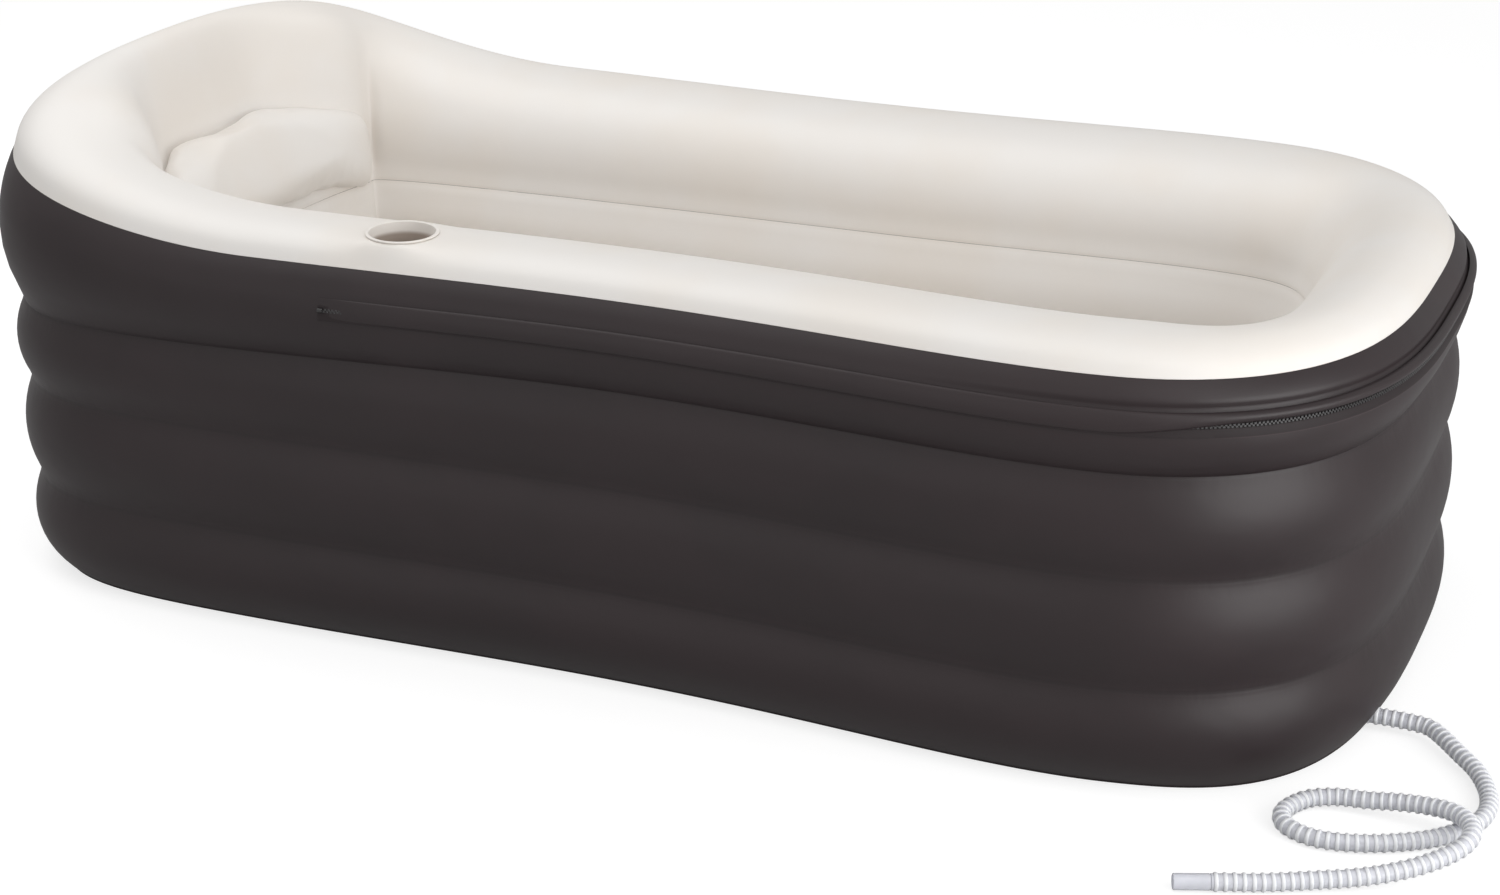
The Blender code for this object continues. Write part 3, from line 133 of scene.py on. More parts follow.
# Cup holder
CUP_X = -0.236
CUP_Y = -0.347
CUP_RADIUS = 0.0360
CUP_WALL = 0.0012
CUP_LIP_WIDTH = 0.0030
CUP_LIP_HEIGHT = 0.0016
CUP_DEPTH = 0.085

# Zip
ZIP_END_X = -0.30
ZIP_FADE = 0.03
FACET_LOW, FACET_HIGH = 0.5, 0.75
ZIP_LOWER_TAPE_WIDTH = 0.0065
ZIP_UPPER_TAPE_WIDTH = 0.0032
ZIP_TEETH_WIDTH = 0.0040
TOOTH_LENGTH_SHARE = 0.62
TOOTH_WIDTH = 0.0024
TOOTH_HEIGHT = 0.0016
TOOTH_BEVEL = 0.0003
TOOTH_SHIFT = 0.0009
ZIP_EDGE_MARGIN = 0.0010
WELT_WIDTH = 0.0076
WELT_HEIGHT = 0.0040
STOP_LENGTH = 0.006
FOLD_OVERHANG = 0.0034
FOLD_FADE = 0.16
FOLD_LEAST_SHARE = 0.50
FOLD_HEIGHT = 0.0068
FOLD_STEPS = 12
FOLD_HOLD_X = -0.08
FOLD_HOLD_REACH = 0.04
COVER_OVERHANG = 0.0155
COVER_END_X = 0.70
COVER_REACH = 0.14
COVER_TAPER = 0.05
COVER_TAPER_LEAD = 0.00625
HEM_REACH = 0.0034
VALLEY_LOW, VALLEY_HIGH = 0.655, 0.800
VALLEY_DEPTH = 0.0040
VALLEY_START_X = 0.28
VALLEY_REACH = 0.30
CREASE_FILL = 0.0034
CREASE_FILL_REACH = 0.016
INNER_FILL = 0.0060
INNER_FILL_REACH = 0.030
INNER_SEAM_GAP = 0.00005
TOP_ROW_SHARES = ((0.0, 0.0), (0.36, 0.66), (0.86, 0.86), (1.0, 1.0))

# Drain and hose
DRAIN_Y = -0.162
OUTLET_FACE_X = 0.8170
INLET_FACE_X = 0.63549
SUMP_RADIUS = 0.045
HOSE_RADIUS = 0.0096
HOSE_GROOVE_RADIUS = 0.0082
HOSE_BORE_RADIUS = 0.0070
HOSE_RIB_PITCH = 0.0090
HOSE_FLOOR_CLEARANCE = 0.0004
CUFF_RADIUS = 0.0082
CUFF_BORE_RADIUS = 0.0064
CUFF_LENGTH = 0.036
OUTLET_RIBS = 3
OUTLET_RIB_PITCH = 0.0090
HOSE_START = (0.8173, -0.162, 0.016)
HOSE_ROUTE = (
    (0.8670, -0.1660, 0.0058), (0.8850, -0.1820, 0.0050), (0.9060, -0.2070, 0.0034),
    (0.9310, -0.2380, 0.0014), (0.9480, -0.2770, 0.0), (0.9530, -0.3150, 0.0),
    (0.9450, -0.3470, 0.0), (0.9260, -0.3750, 0.0), (0.9000, -0.3990, 0.0),
    (0.8540, -0.4240, 0.0), (0.8090, -0.4330, 0.0), (0.7760, -0.4200, 0.0),
    (0.7660, -0.3930, 0.0), (0.7820, -0.3610, 0.0010), (0.8100, -0.3480, 0.0030),
    (0.8410, -0.3480, 0.0060), (0.8720, -0.3480, 0.0105), (0.8985, -0.3520, 0.0145),
    (0.9230, -0.3620, 0.0190), (0.9410, -0.3770, 0.0212), (0.9510, -0.3990, 0.0215),
    (0.9490, -0.4220, 0.0200), (0.9350, -0.4430, 0.0150), (0.9060, -0.4695, 0.0090),
    (0.8670, -0.4940, 0.0040), (0.8170, -0.5175, 0.0010), (0.7800, -0.5350, 0.0),
    (0.7510, -0.5465, 0.0))
ROUTE_SAMPLES = 24

# Places and directions of the fittings, each as an origin and its three axes
SLIDER_FRAME = ((-0.21414, 0.42041, 0.40499), (0.99878, -0.04619, 0.0174),
                (0.02656, 0.20584, -0.97822), (0.0416, 0.97749, 0.20682))
PULL_FRAME = ((-0.21393, 0.42529, 0.40602), (0.99878, -0.04619, 0.0174),
              (0.02656, 0.20584, -0.97822), (0.0416, 0.97749, 0.20682))
WALL_VALVE_FRAME = ((-0.52063, 0.42398, 0.28608), (0.0, 0.0, 1.0),
                    (0.99921, 0.03972, 0.0), (-0.03972, 0.99921, 0.0))
FLOOR_VALVE_FRAME = ((0.46, -0.1, 0.047), (1.0, 0.0, 0.0), (0.0, 1.0, 0.0), (0.0, 0.0, 1.0))
BACKREST_VALVE_FRAME = ((-0.59323, -0.17199, 0.3861), (-0.27027, 0.96278, 0.0),
                        (-0.17127, -0.04808, 0.98405), (0.94743, 0.26596, 0.17789))
PLUG_FRAME = ((0.63549, -0.162, 0.016), (0.0, 0.0, 1.0), (0.0, 1.0, 0.0), (-1.0, 0.0, 0.0))
DRAIN_FRAME = ((0.0, -0.162, 0.016), (0.0, 0.0, 1.0), (0.0, -1.0, 0.0), (1.0, 0.0, 0.0))

# Inflation valve, along its own axis
VALVE_BACK, VALVE_FRONT = -0.022, 0.003
VALVE_BORE_RADIUS, VALVE_BODY_RADIUS = 0.013, 0.020

# Small valves of the cushions, along their own axis
CUSHION_VALVE_TOP = 0.0015

# Stage: each lamp's width, place and target
OVERHEAD_LAMP = (2.6, (-1.35, 0.1, 2.3), (-0.5, 0.0, 0.3))
CORNER_LAMP = (1.4, (1.5, -1.35, 2.5), (0.6, -0.3, 0.35))
FOOT_LAMP = (2.4, (2.8, -1.1, 0.75), (0.6, 0.0, 0.25))
FRONT_LAMP = (2.0, (-0.6, -3.0, 1.2), (0.0, 0.0, 0.25))
STAGE_WIDTH = 40.0
STAGE_HEIGHT = -0.0002

# Fineness of the plan outline, as in the part
FINE_ANGLES = 1440
FINE_POINTS = 888
NORMAL_WINDOW = 18
BISECTION_STEPS = 48
STATION_COUNT = 44
TURN_WEIGHT_LENGTH = 0.55
SMOOTH_ANGLE = math.radians(35)


# Settings that a user would change

class BathtubSizes(bpy.types.PropertyGroup):
    skin: FloatProperty(name="Skin thickness", description="Thickness of the vinyl skins",
                        default=0.0010, min=0.0003, max=0.003, subtype="DISTANCE", unit="LENGTH")
    rows: IntProperty(name="Rows in a bulge", description="Rows of faces up each bulge",
                      default=14, min=6, max=30)
    steps: IntProperty(name="Steps in a slice", description="Columns between two slices of the frame",
                       default=9, min=3, max=20)
    tooth_pitch: FloatProperty(name="Tooth pitch", description="Distance between two zip teeth",
                               default=0.0042, min=0.002, max=0.01, subtype="DISTANCE", unit="LENGTH")
    hose_sides: IntProperty(name="Hose sides", description="Faces round the hose",
                            default=16, min=8, max=32)


def colour_setting(name, description, value):
    return FloatVectorProperty(name=name, description=description, default=value,
                               min=0.0, max=1.0, subtype="COLOR")


def power_setting(name, description, value):
    return FloatProperty(name=name, description=description, default=value, min=0.0, max=500.0)


class BathtubColours(bpy.types.PropertyGroup):
    dark: colour_setting("Dark vinyl", "Charcoal vinyl of the outer wall", (0.0215, 0.0132, 0.0146))
    cream: colour_setting("Cream vinyl", "Cream vinyl of the rim and inside", (0.852, 0.823, 0.790))
    rib: colour_setting("Hose ribs", "White ribs of the drain hose", (0.85, 0.86, 0.88))
    hose: colour_setting("Clear hose", "Clear wall between the ribs", (0.89, 0.90, 0.97))
    dark_plastic: colour_setting("Dark plastic", "Zip and valve mouldings", (0.030, 0.028, 0.029))
    white_plastic: colour_setting("White plastic", "Small valves and drain plug", (0.80, 0.80, 0.78))
    tape: colour_setting("Zip tape", "Woven tape of the zip", (0.0210, 0.0150, 0.0160))
    rubber: colour_setting("Rubber", "Soft valve flap", (0.55, 0.55, 0.53))


class BathtubStage(bpy.types.PropertyGroup):
    lens: FloatProperty(name="Lens", description="Focal length of the camera, in millimetres",
                        default=67.4, min=20.0, max=200.0)
    distance: FloatProperty(name="Distance", description="Distance from the camera to its target",
                            default=2.918, min=1.0, max=10.0, subtype="DISTANCE", unit="LENGTH")
    yaw: FloatProperty(name="Yaw", description="Turn of the camera about the upright axis",
                       default=math.radians(22.936), subtype="ANGLE", unit="ROTATION")
    pitch: FloatProperty(name="Pitch", description="How far the camera looks down",
                         default=math.radians(21.998), subtype="ANGLE", unit="ROTATION")
    target: FloatVectorProperty(name="Target", description="Point that the camera looks at",
                                default=(0.18, -0.37, 0.30), subtype="TRANSLATION", unit="LENGTH")
    key: power_setting("Overhead light", "Power of the overhead lamp, in watts", 25.0)
    side: power_setting("Foot light", "Power of the lamp at the foot end, in watts", 56.0)
    corner: power_setting("Corner light", "Power of the lamp high over the foot, in watts", 8.0)
    front: power_setting("Front light", "Power of the lamp at the front, in watts", 6.0)
    room: FloatProperty(name="Room light", description="Strength of the light from all round",
                        default=0.50, min=0.0, max=2.0)


# Plan curve and slices of the wall

def smooth_step(value):
    """Eases from 0 to 1 as the value goes from 0 to 1."""
    clipped = min(max(value, 0.0), 1.0)
    return clipped * clipped * (3.0 - 2.0 * clipped)


def end_radius(angle, half_length, half_width):
    """Distance from the centre to the rounded-box outline, before taper and waist."""
    cosine, sine = math.cos(angle), math.sin(angle)
    along_power, across_power = HEAD_END_POWERS if cosine < 0.0 else FOOT_END_POWERS
    low, high = 0.0, half_length + half_width
    for _ in range(BISECTION_STEPS):
        middle = (low + high) / 2.0
        along = abs(middle * cosine / half_length) ** along_power
        across = abs(middle * sine / half_width) ** across_power
        if along + across > 1.0:
            high = middle
        else:
            low = middle
    return low


def even_points(points, count):
    """Points at equal steps along a closed line."""
    ring = points + [points[0]]
    reached = [0.0]
    for before, after in zip(ring, ring[1:]):
        reached.append(reached[-1] + (after - before).length)
    placed = []
    index = 0
    for step in range(count):
        wanted = reached[-1] * step / count
        while reached[index + 1] < wanted:
            index += 1
        share = (wanted - reached[index]) / (reached[index + 1] - reached[index])
        placed.append(ring[index].lerp(ring[index + 1], share))
    return placed


def plan_curve(inset):
    """The closed plan outline, set in from the widest outline, as evenly spaced points."""
    half_length = TUB_LENGTH / 2.0 - inset
    half_width = PLAN_WIDTH / 2.0 - inset
    rough = []
    for step in range(FINE_ANGLES):
        angle = math.tau * step / FINE_ANGLES
        radius = end_radius(angle, half_length, half_width)
        x = radius * math.cos(angle)
        waist = 1.0 - WAIST_SHARE * math.exp(-((x - WAIST_PLACE) / WAIST_REACH) ** 2)
        y = radius * math.sin(angle) * (1.0 + TAPER_SHARE * x / half_length) * waist
        rough.append(Vector((x, y)))
    return even_points(rough, FINE_POINTS)


def rise_share(x):
    """How much of the head's rise the rim has at a place along the tub."""
    full = smooth_step((TUB_LENGTH / 2.0 - TOP_BULGE_DEPTH - RISE_START) / RISE_REACH)
    return smooth_step((-x - RISE_START) / RISE_REACH) / full


class Slice:
    """One upright slice of the wall: where it stands, which way is inwards, and its sizes."""

    def __init__(self, point, inward, wall_width, crest, upper_crease, head, foot, corner):
        self.point = point
        self.inward = inward
        self.wall_width = wall_width
        self.crest = crest
        self.upper_crease = upper_crease
        self.head = head
        self.foot = foot
        self.corner = corner

    def place(self, across, height):
        lean = FOOT_LEAN * self.foot * height / RIM_HEIGHT
        flat = self.point + self.inward * (across + lean)
        return Vector((flat.x, flat.y, height))

    def blend(self, other, share):
        mix = [a + (b - a) * share for a, b in zip(self.values(), other.values())]
        return Slice(self.point.lerp(other.point, share),
                     self.inward.lerp(other.inward, share), *mix)

    def values(self):
        return (self.wall_width, self.crest, self.upper_crease, self.head, self.foot,
                self.corner)

    def rim_section(self):
        """Rim points from seam to inner crease, as (across, height)."""
        weights = (1.0 - self.head - self.foot - self.corner, self.head, self.foot, self.corner)
        span = self.crest - self.upper_crease
        points = []
        for shares in zip(SIDE_RIM_SHARES, HEAD_RIM_SHARES, FOOT_RIM_SHARES, CORNER_RIM_SHARES):
            across, height = (sum(w * v for w, v in zip(weights, line)) for line in zip(*shares))
            points.append((across * self.wall_width, self.upper_crease + height * span))
        return points

    def base_inset(self):
        return BASE_INSET + (FOOT_BASE_INSET - BASE_INSET) * self.foot

    def seam(self):
        return self.rim_section()[0][1]

    def outer_heights(self):
        return (BASE_TOP, LOWER_CREASE_HEIGHT, MIDDLE_CREASE_HEIGHT, self.upper_crease, self.seam())


def slice_at(point, outward):
    end_width = HEAD_WALL_WIDTH if outward.x < 0.0 else FOOT_WALL_WIDTH
    wall_width = SIDE_WALL_WIDTH + (end_width - SIDE_WALL_WIDTH) * outward.x ** 2
    crest = RIM_HEIGHT + HEAD_RISE * rise_share(point.x)
    droop = CREASE_DROOP * smooth_step((DROOP_START - point.x) / DROOP_REACH)
    facing = outward.x ** 2 if outward.x < 0.0 else 0.0
    end = smooth_step(facing / CORNER_FACING_SHARE)
    inner_reach = abs(point.y) - abs(outward.y) * wall_width
    head = end * smooth_step((SCOOP_HALF_WIDTH - inner_reach) / SCOOP_REACH)
    corner = end - head
    foot = smooth_step((point.x - FOOT_BLEND_START) / FOOT_BLEND_REACH)
    return Slice(point, -outward, wall_width, crest, UPPER_CREASE_HEIGHT - droop, head, foot,
                 corner)


class Outline:
    """The tub's slices: the frame's own, and any number between them on the smooth curve."""

    def __init__(self):
        self.curve = plan_curve(TOP_BULGE_DEPTH)
        count = len(self.curve)
        normals = []
        for index in range(count):
            along = self.curve[(index + 1) % count] - self.curve[index - 1]
            normals.append(Vector((along.y, -along.x)).normalized())
        self.outward = []
        for index in range(count):
            total = Vector((0.0, 0.0))
            for step in range(-NORMAL_WINDOW, NORMAL_WINDOW + 1):
                total += normals[(index + step) % count]
            self.outward.append(total.normalized())
        cost = [0.0]
        for index in range(count):
            following = (index + 1) % count
            length = (self.curve[following] - self.curve[index]).length
            turn = normals[index].angle(normals[following])
            cost.append(cost[-1] + length + turn * TURN_WEIGHT_LENGTH)
        self.marks = []
        index = 0
        for step in range(STATION_COUNT):
            wanted = cost[-1] * step / STATION_COUNT
            while cost[index + 1] < wanted:
                index += 1
            self.marks.append(index + (wanted - cost[index]) / (cost[index + 1] - cost[index]))
        self.frame_slices = [self.smooth_slice(mark) for mark in self.marks]

    def smooth_slice(self, mark):
        count = len(self.curve)
        index = int(mark)
        share = mark - index
        following = (index + 1) % count
        point = self.curve[index % count].lerp(self.curve[following], share)
        outward = self.outward[index % count].lerp(self.outward[following], share).normalized()
        return slice_at(point, outward)

    def fine_slices(self, steps):
        """Slices round the whole tub. On the slider's stretch they keep to the frame's flat facets."""
        found = []
        count = len(self.marks)
        for index in range(count):
            start = self.marks[index]
            end = self.marks[index + 1] if index + 1 < count else len(self.curve)
            first, second = self.frame_slices[index], self.frame_slices[(index + 1) % count]
            for step in range(steps):
                share = step / steps
                smooth = self.smooth_slice(start + (end - start) * share)
                weight = flat_weight(smooth.point)
                if weight > 0.0:
                    smooth = smooth.blend(first.blend(second, share), weight)
                found.append(smooth)
        return found


def flat_weight(point):
    """1 on the slider's straight stretch of the far side, easing to 0 beyond it."""
    if point.y < 0.0:
        return 0.0
    return (smooth_step((point.x + 0.3357) / 0.03)
            * smooth_step((-0.1558 - point.x) / 0.03))


# Sections of the wall, as (across, height) points

def arc_point(low, high, depth, share):
    """A point on a circular arc between two heights, bulging outwards by the depth."""
    half = (high - low) / 2.0
    radius = (half * half + depth * depth) / (2.0 * depth)
    angle = math.atan2(half, radius - depth) * (2.0 * share - 1.0)
    return (radius - depth - radius * math.cos(angle), low + half + radius * math.sin(angle))


def zip_share(piece):
    """1 where the zip runs, easing to 0 past its two ends."""
    return smooth_step((piece.point.x - ZIP_END_X + ZIP_FADE) / ZIP_FADE)


def fold_share(piece):
    """How full the fold over the zip is: flat at its near end, full round the foot."""
    x = piece.point.x
    if piece.point.y > 0.0:
        return zip_share(piece)
    return smooth_step((x - ZIP_END_X) / FOLD_FADE)


def valley_share(piece):
    """How deep the valley over the fold is: level along the near side, full round the foot."""
    if piece.point.y > 0.0:
        return zip_share(piece)
    return smooth_step((piece.point.x - VALLEY_START_X) / VALLEY_REACH)


def cover_share(piece):
    """1 on the near side, where the fold covers the whole zip, and 0 from the foot on."""
    if piece.point.y > 0.0:
        return 0.0
    return smooth_step((COVER_END_X - piece.point.x) / COVER_REACH)


def crease_nearness(bulge, share, height):
    """1 at a crease of the outer wall, easing to 0 a little way up and down from it."""
    below = share * height if bulge > 0 else CREASE_FILL_REACH
    above = (1.0 - share) * height if bulge < 3 else CREASE_FILL_REACH
    return (1.0 - smooth_step(min(below, above) / CREASE_FILL_REACH)) ** 2


def top_share(share):
    """Crowds the top bulge's rows where the fold and its valley are."""
    for (start, low), (end, high) in zip(TOP_ROW_SHARES, TOP_ROW_SHARES[1:]):
        if share <= end:
            return low + (high - low) * (share - start) / (end - start)
    return 1.0


def outer_point(piece, bulge, share):
    """A point of the outer wall: the number of its bulge from the floor, and the share up it."""
    heights = piece.outer_heights()
    low, high = heights[bulge], heights[bulge + 1]
    depth = TOP_BULGE_DEPTH if bulge == 3 else BULGE_DEPTH
    across, height = arc_point(low, high, depth, share)
    if bulge < 3 or share < 0.5:
        across -= CREASE_FILL * crease_nearness(bulge, share, high - low)
    if bulge == 0:
        across += piece.base_inset() * (1.0 - share) ** BASE_INSET_POWER
    if bulge == 3 and FACET_LOW < share < FACET_HIGH:
        first = Vector(arc_point(low, high, depth, FACET_LOW))
        second = Vector(arc_point(low, high, depth, FACET_HIGH))
        flat = first.lerp(second, (share - FACET_LOW) / (FACET_HIGH - FACET_LOW))
        across, height = Vector((across, height)).lerp(flat, zip_share(piece))
    if bulge == 3 and VALLEY_LOW < share < VALLEY_HIGH:
        dip = math.sin(math.pi * (share - VALLEY_LOW) / (VALLEY_HIGH - VALLEY_LOW)) ** 2
        across += VALLEY_DEPTH * dip * valley_share(piece)
    if bulge == 3 and share == 1.0:
        height -= GAP
    return across, height


def inner_fill(distance):
    """How far the vinyl bridges the inner crease, at a distance up or down from it."""
    return INNER_FILL * (1.0 - smooth_step(abs(distance) / INNER_FILL_REACH)) ** 2


def inner_point(piece, bulge, share):
    """A point of the inner wall: the number of its bulge from the floor, and the share up it."""
    heights = (BASE_TOP, LOWER_CREASE_HEIGHT, MIDDLE_CREASE_HEIGHT, piece.upper_crease - INNER_SEAM_GAP)
    across, height = arc_point(heights[bulge], heights[bulge + 1], INNER_BULGE_DEPTH, share)
    near = inner_fill(piece.upper_crease - height) if bulge == 2 else 0.0
    return piece.wall_width - across + near, height


def spline_point(points, reach):
    """A point on a smooth curve through the points. The reach counts whole points and a share."""
    last = len(points) - 1
    index = min(int(reach), last - 1)
    t = reach - index
    before = Vector(points[max(index - 1, 0)])
    start, end = Vector(points[index]), Vector(points[index + 1])
    after = Vector(points[min(index + 2, last)])
    bend = (2.0 * before - 5.0 * start + 4.0 * end - after) * t * t
    twist = (3.0 * start - before - 3.0 * end + after) * t * t * t
    return (2.0 * start + (end - before) * t + bend + twist) / 2.0


def rim_points(piece, per_step):
    """The rim's section as a smooth line from the seam to the inner crease."""
    shares = piece.rim_section()
    across, height = shares[-1]
    shares[-1] = (across, height + GAP)
    count = (len(shares) - 1) * per_step
    points = []
    for step in range(count + 1):
        across, height = spline_point(shares, step / per_step)
        near = inner_fill(height - piece.upper_crease) if step > count // 2 else 0.0
        points.append((across + near, height))
    return points


def zip_facet(piece):
    """The flat strip of the top bulge that carries the zip: its foot, its run and its normal."""
    heights = piece.outer_heights()
    foot = Vector(arc_point(heights[3], heights[4], TOP_BULGE_DEPTH, FACET_LOW))
    top = Vector(arc_point(heights[3], heights[4], TOP_BULGE_DEPTH, FACET_HIGH))
    run = (top - foot).normalized()
    return foot, run, Vector((-run.y, run.x))


# Modelling helpers

def deselect_all():
    if bpy.context.object and bpy.context.object.mode != "OBJECT":
        bpy.ops.object.mode_set(mode="OBJECT")
    bpy.ops.object.select_all(action="DESELECT")


def select_only(piece):
    deselect_all()
    piece.select_set(True)
    bpy.context.view_layer.objects.active = piece


def apply_modifier(piece, kind, **settings):
    """Adds one modifier with the given settings and applies it."""
    select_only(piece)
    made = piece.modifiers.new(kind.lower(), kind)
    for name, value in settings.items():
        setattr(made, name, value)
    bpy.ops.object.modifier_apply(modifier=made.name)


def to_frame(place):
    origin, first, second, third = place
    rows = Matrix((first, second, third)).transposed().to_4x4()
    rows.translation = Vector(origin)
    return rows


def set_place(piece, place):
    """Moves a piece to its frame and bakes that into its mesh."""
    piece.matrix_world = to_frame(place) if isinstance(place, tuple) else place
    select_only(piece)
    bpy.ops.object.transform_apply(location=True, rotation=True, scale=True)


def draped_grid(name, columns, rows, place, wrap_columns=False, wrap_rows=False, marked=()):
    """Adds a grid and lays every point of it with the place function of column and row.

    The points of the marked rows get 1 in the attribute hem, and the others 0.
    """
    deselect_all()
    bpy.ops.mesh.primitive_grid_add(x_subdivisions=columns, y_subdivisions=rows, size=2.0)
    piece = bpy.context.object
    piece.name = name
    piece.data.name = name
    hem_highlight = []
    for vert in piece.data.vertices:
        column = round((vert.co.x + 1.0) / 2.0 * columns)
        row = round((vert.co.y + 1.0) / 2.0 * rows)
        if wrap_columns:
            column %= columns
        if wrap_rows:
            row %= rows
        vert.co = place(column, row)
        hem_highlight.append(1.0 if row in marked else 0.0)
    if marked:
        write_attribute(piece, "hem_highlight", hem_highlight)
    if wrap_columns or wrap_rows:
        bpy.ops.object.mode_set(mode="EDIT")
        bpy.ops.mesh.select_all(action="SELECT")
        bpy.ops.mesh.remove_doubles(threshold=0.00001)
        bpy.ops.object.mode_set(mode="OBJECT")
    return piece


def face_towards(piece, centre_side):
    """Turns a sheet's faces over where they look the wrong way. The function gives the wanted way."""
    mesh = piece.data
    face = mesh.polygons[len(mesh.polygons) // 2]
    if face.normal.dot(centre_side(face.center)) < 0.0:
        select_only(piece)
        bpy.ops.object.mode_set(mode="EDIT")
        bpy.ops.mesh.select_all(action="SELECT")
        bpy.ops.mesh.flip_normals()
        bpy.ops.object.mode_set(mode="OBJECT")


def close_and_turn_out(piece, fill=False):
    """Merges doubles, fills open ends when asked, and turns all faces outwards."""
    select_only(piece)
    bpy.ops.object.mode_set(mode="EDIT")
    bpy.ops.mesh.select_all(action="SELECT")
    bpy.ops.mesh.remove_doubles(threshold=0.00001)
    if fill:
        bpy.ops.mesh.select_mode(type="EDGE")
        bpy.ops.mesh.select_all(action="DESELECT")
        bpy.ops.mesh.select_non_manifold()
        bpy.ops.mesh.edge_face_add()
        bpy.ops.mesh.select_all(action="SELECT")
    bpy.ops.mesh.normals_make_consistent(inside=False)
    bpy.ops.object.mode_set(mode="OBJECT")


def turned(name, profile, sides, ring=False, bevel=0.0):
    """A round piece about Z: a circle extruded and resized along (radius, height) points."""
    deselect_all()
    radius, height = profile[0]
    bpy.ops.mesh.primitive_circle_add(vertices=sides, radius=radius, fill_type="NOTHING",
                                      location=(0.0, 0.0, height))
    piece = bpy.context.object
    piece.name = name
    piece.data.name = name
    bpy.ops.object.transform_apply(location=True)
    bpy.ops.object.mode_set(mode="EDIT")
    if not ring:
        bpy.ops.mesh.select_all(action="SELECT")
        bpy.ops.mesh.edge_face_add()
    steps = list(zip(profile, profile[1:])) + ([(profile[-1], profile[0])] if ring else [])
    bpy.ops.mesh.select_mode(type="EDGE")
    if not ring:
        bpy.ops.mesh.select_mode(type="FACE")
    for (r0, h0), (r1, h1) in steps:
        if ring:
            bpy.ops.mesh.extrude_edges_move(TRANSFORM_OT_translate={"value": (0.0, 0.0, h1 - h0)})
        else:
            bpy.ops.mesh.extrude_region_move(TRANSFORM_OT_translate={"value": (0.0, 0.0, h1 - h0)})
        scale = r1 / r0
        bpy.ops.transform.resize(value=(scale, scale, 1.0), center_override=(0.0, 0.0, h1))
    bpy.ops.object.mode_set(mode="OBJECT")
    close_and_turn_out(piece)
    if bevel:
        apply_modifier(piece, "BEVEL", width=bevel, segments=2, limit_method="ANGLE",
                       angle_limit=SMOOTH_ANGLE, use_clamp_overlap=True)
    return piece


def box_piece(name, low, high):
    """A box between two corners."""
    deselect_all()
    middle = [(a + b) / 2.0 for a, b in zip(low, high)]
    bpy.ops.mesh.primitive_cube_add(size=1.0, location=middle)
    piece = bpy.context.object
    piece.name = name
    piece.data.name = name
    piece.scale = [b - a for a, b in zip(low, high)]
    bpy.ops.object.transform_apply(location=True, scale=True)
    return piece


def combine(target, tool, operation):
    """Adds, cuts or intersects a tool's volume, and removes the tool."""
    apply_modifier(target, "BOOLEAN", operation=operation, solver="EXACT", object=tool)
    bpy.data.objects.remove(tool, do_unlink=True)


def round_hole(target, place, radius, low, high, sides=48):
    """Cuts a round hole along the frame's Z, between two heights."""
    tool = turned("hole_tool", [(radius, low), (radius, high)], sides)
    set_place(tool, place)
    combine(target, tool, "DIFFERENCE")


def press_flat(piece, place, radius, reach, level, depth=0.04):
    """Presses the points round a fitting onto the plane at its frame's level, easing off outwards."""
    rows = to_frame(place)
    back = rows.inverted()
    for vert in piece.data.vertices:
        local = back @ vert.co
        off = math.hypot(local.x, local.y)
        if off < reach and abs(local.z) < depth:
            weight = 1.0 - smooth_step((off - radius) / (reach - radius))
            local.z += (level - local.z) * weight
            vert.co = rows @ local


def finish_piece(piece, body, finish, nodes=(), angle=SMOOTH_ANGLE):
    """Gives a piece its finish, smooths it and hangs it on its body."""
    select_only(piece)
    bpy.ops.object.shade_smooth_by_angle(angle=angle)
    piece.data.materials.clear()
    piece.data.materials.append(bpy.data.materials[finish])
    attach(piece, body)
    if nodes:
        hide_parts(*nodes)
    return piece


# Finishes

class Value:
    """A shader socket that can be used in Python sums."""

    def __init__(self, maker, socket):
        self.maker = maker
        self.socket = socket

    def with_math(self, operation, first, second):
        return self.maker.node("ShaderNodeMath", {"operation": operation}, {0: first, 1: second})

    def __add__(self, other):
        return self.with_math("ADD", self, other)

    def __radd__(self, other):
        return self.with_math("ADD", other, self)

    def __sub__(self, other):
        return self.with_math("SUBTRACT", self, other)

    def __rsub__(self, other):
        return self.with_math("SUBTRACT", other, self)

    def __mul__(self, other):
        return self.with_math("MULTIPLY", self, other)

    def __rmul__(self, other):
        return self.with_math("MULTIPLY", other, self)

    def __truediv__(self, other):
        return self.with_math("DIVIDE", self, other)

    def __pow__(self, other):
        return self.with_math("POWER", self, other)


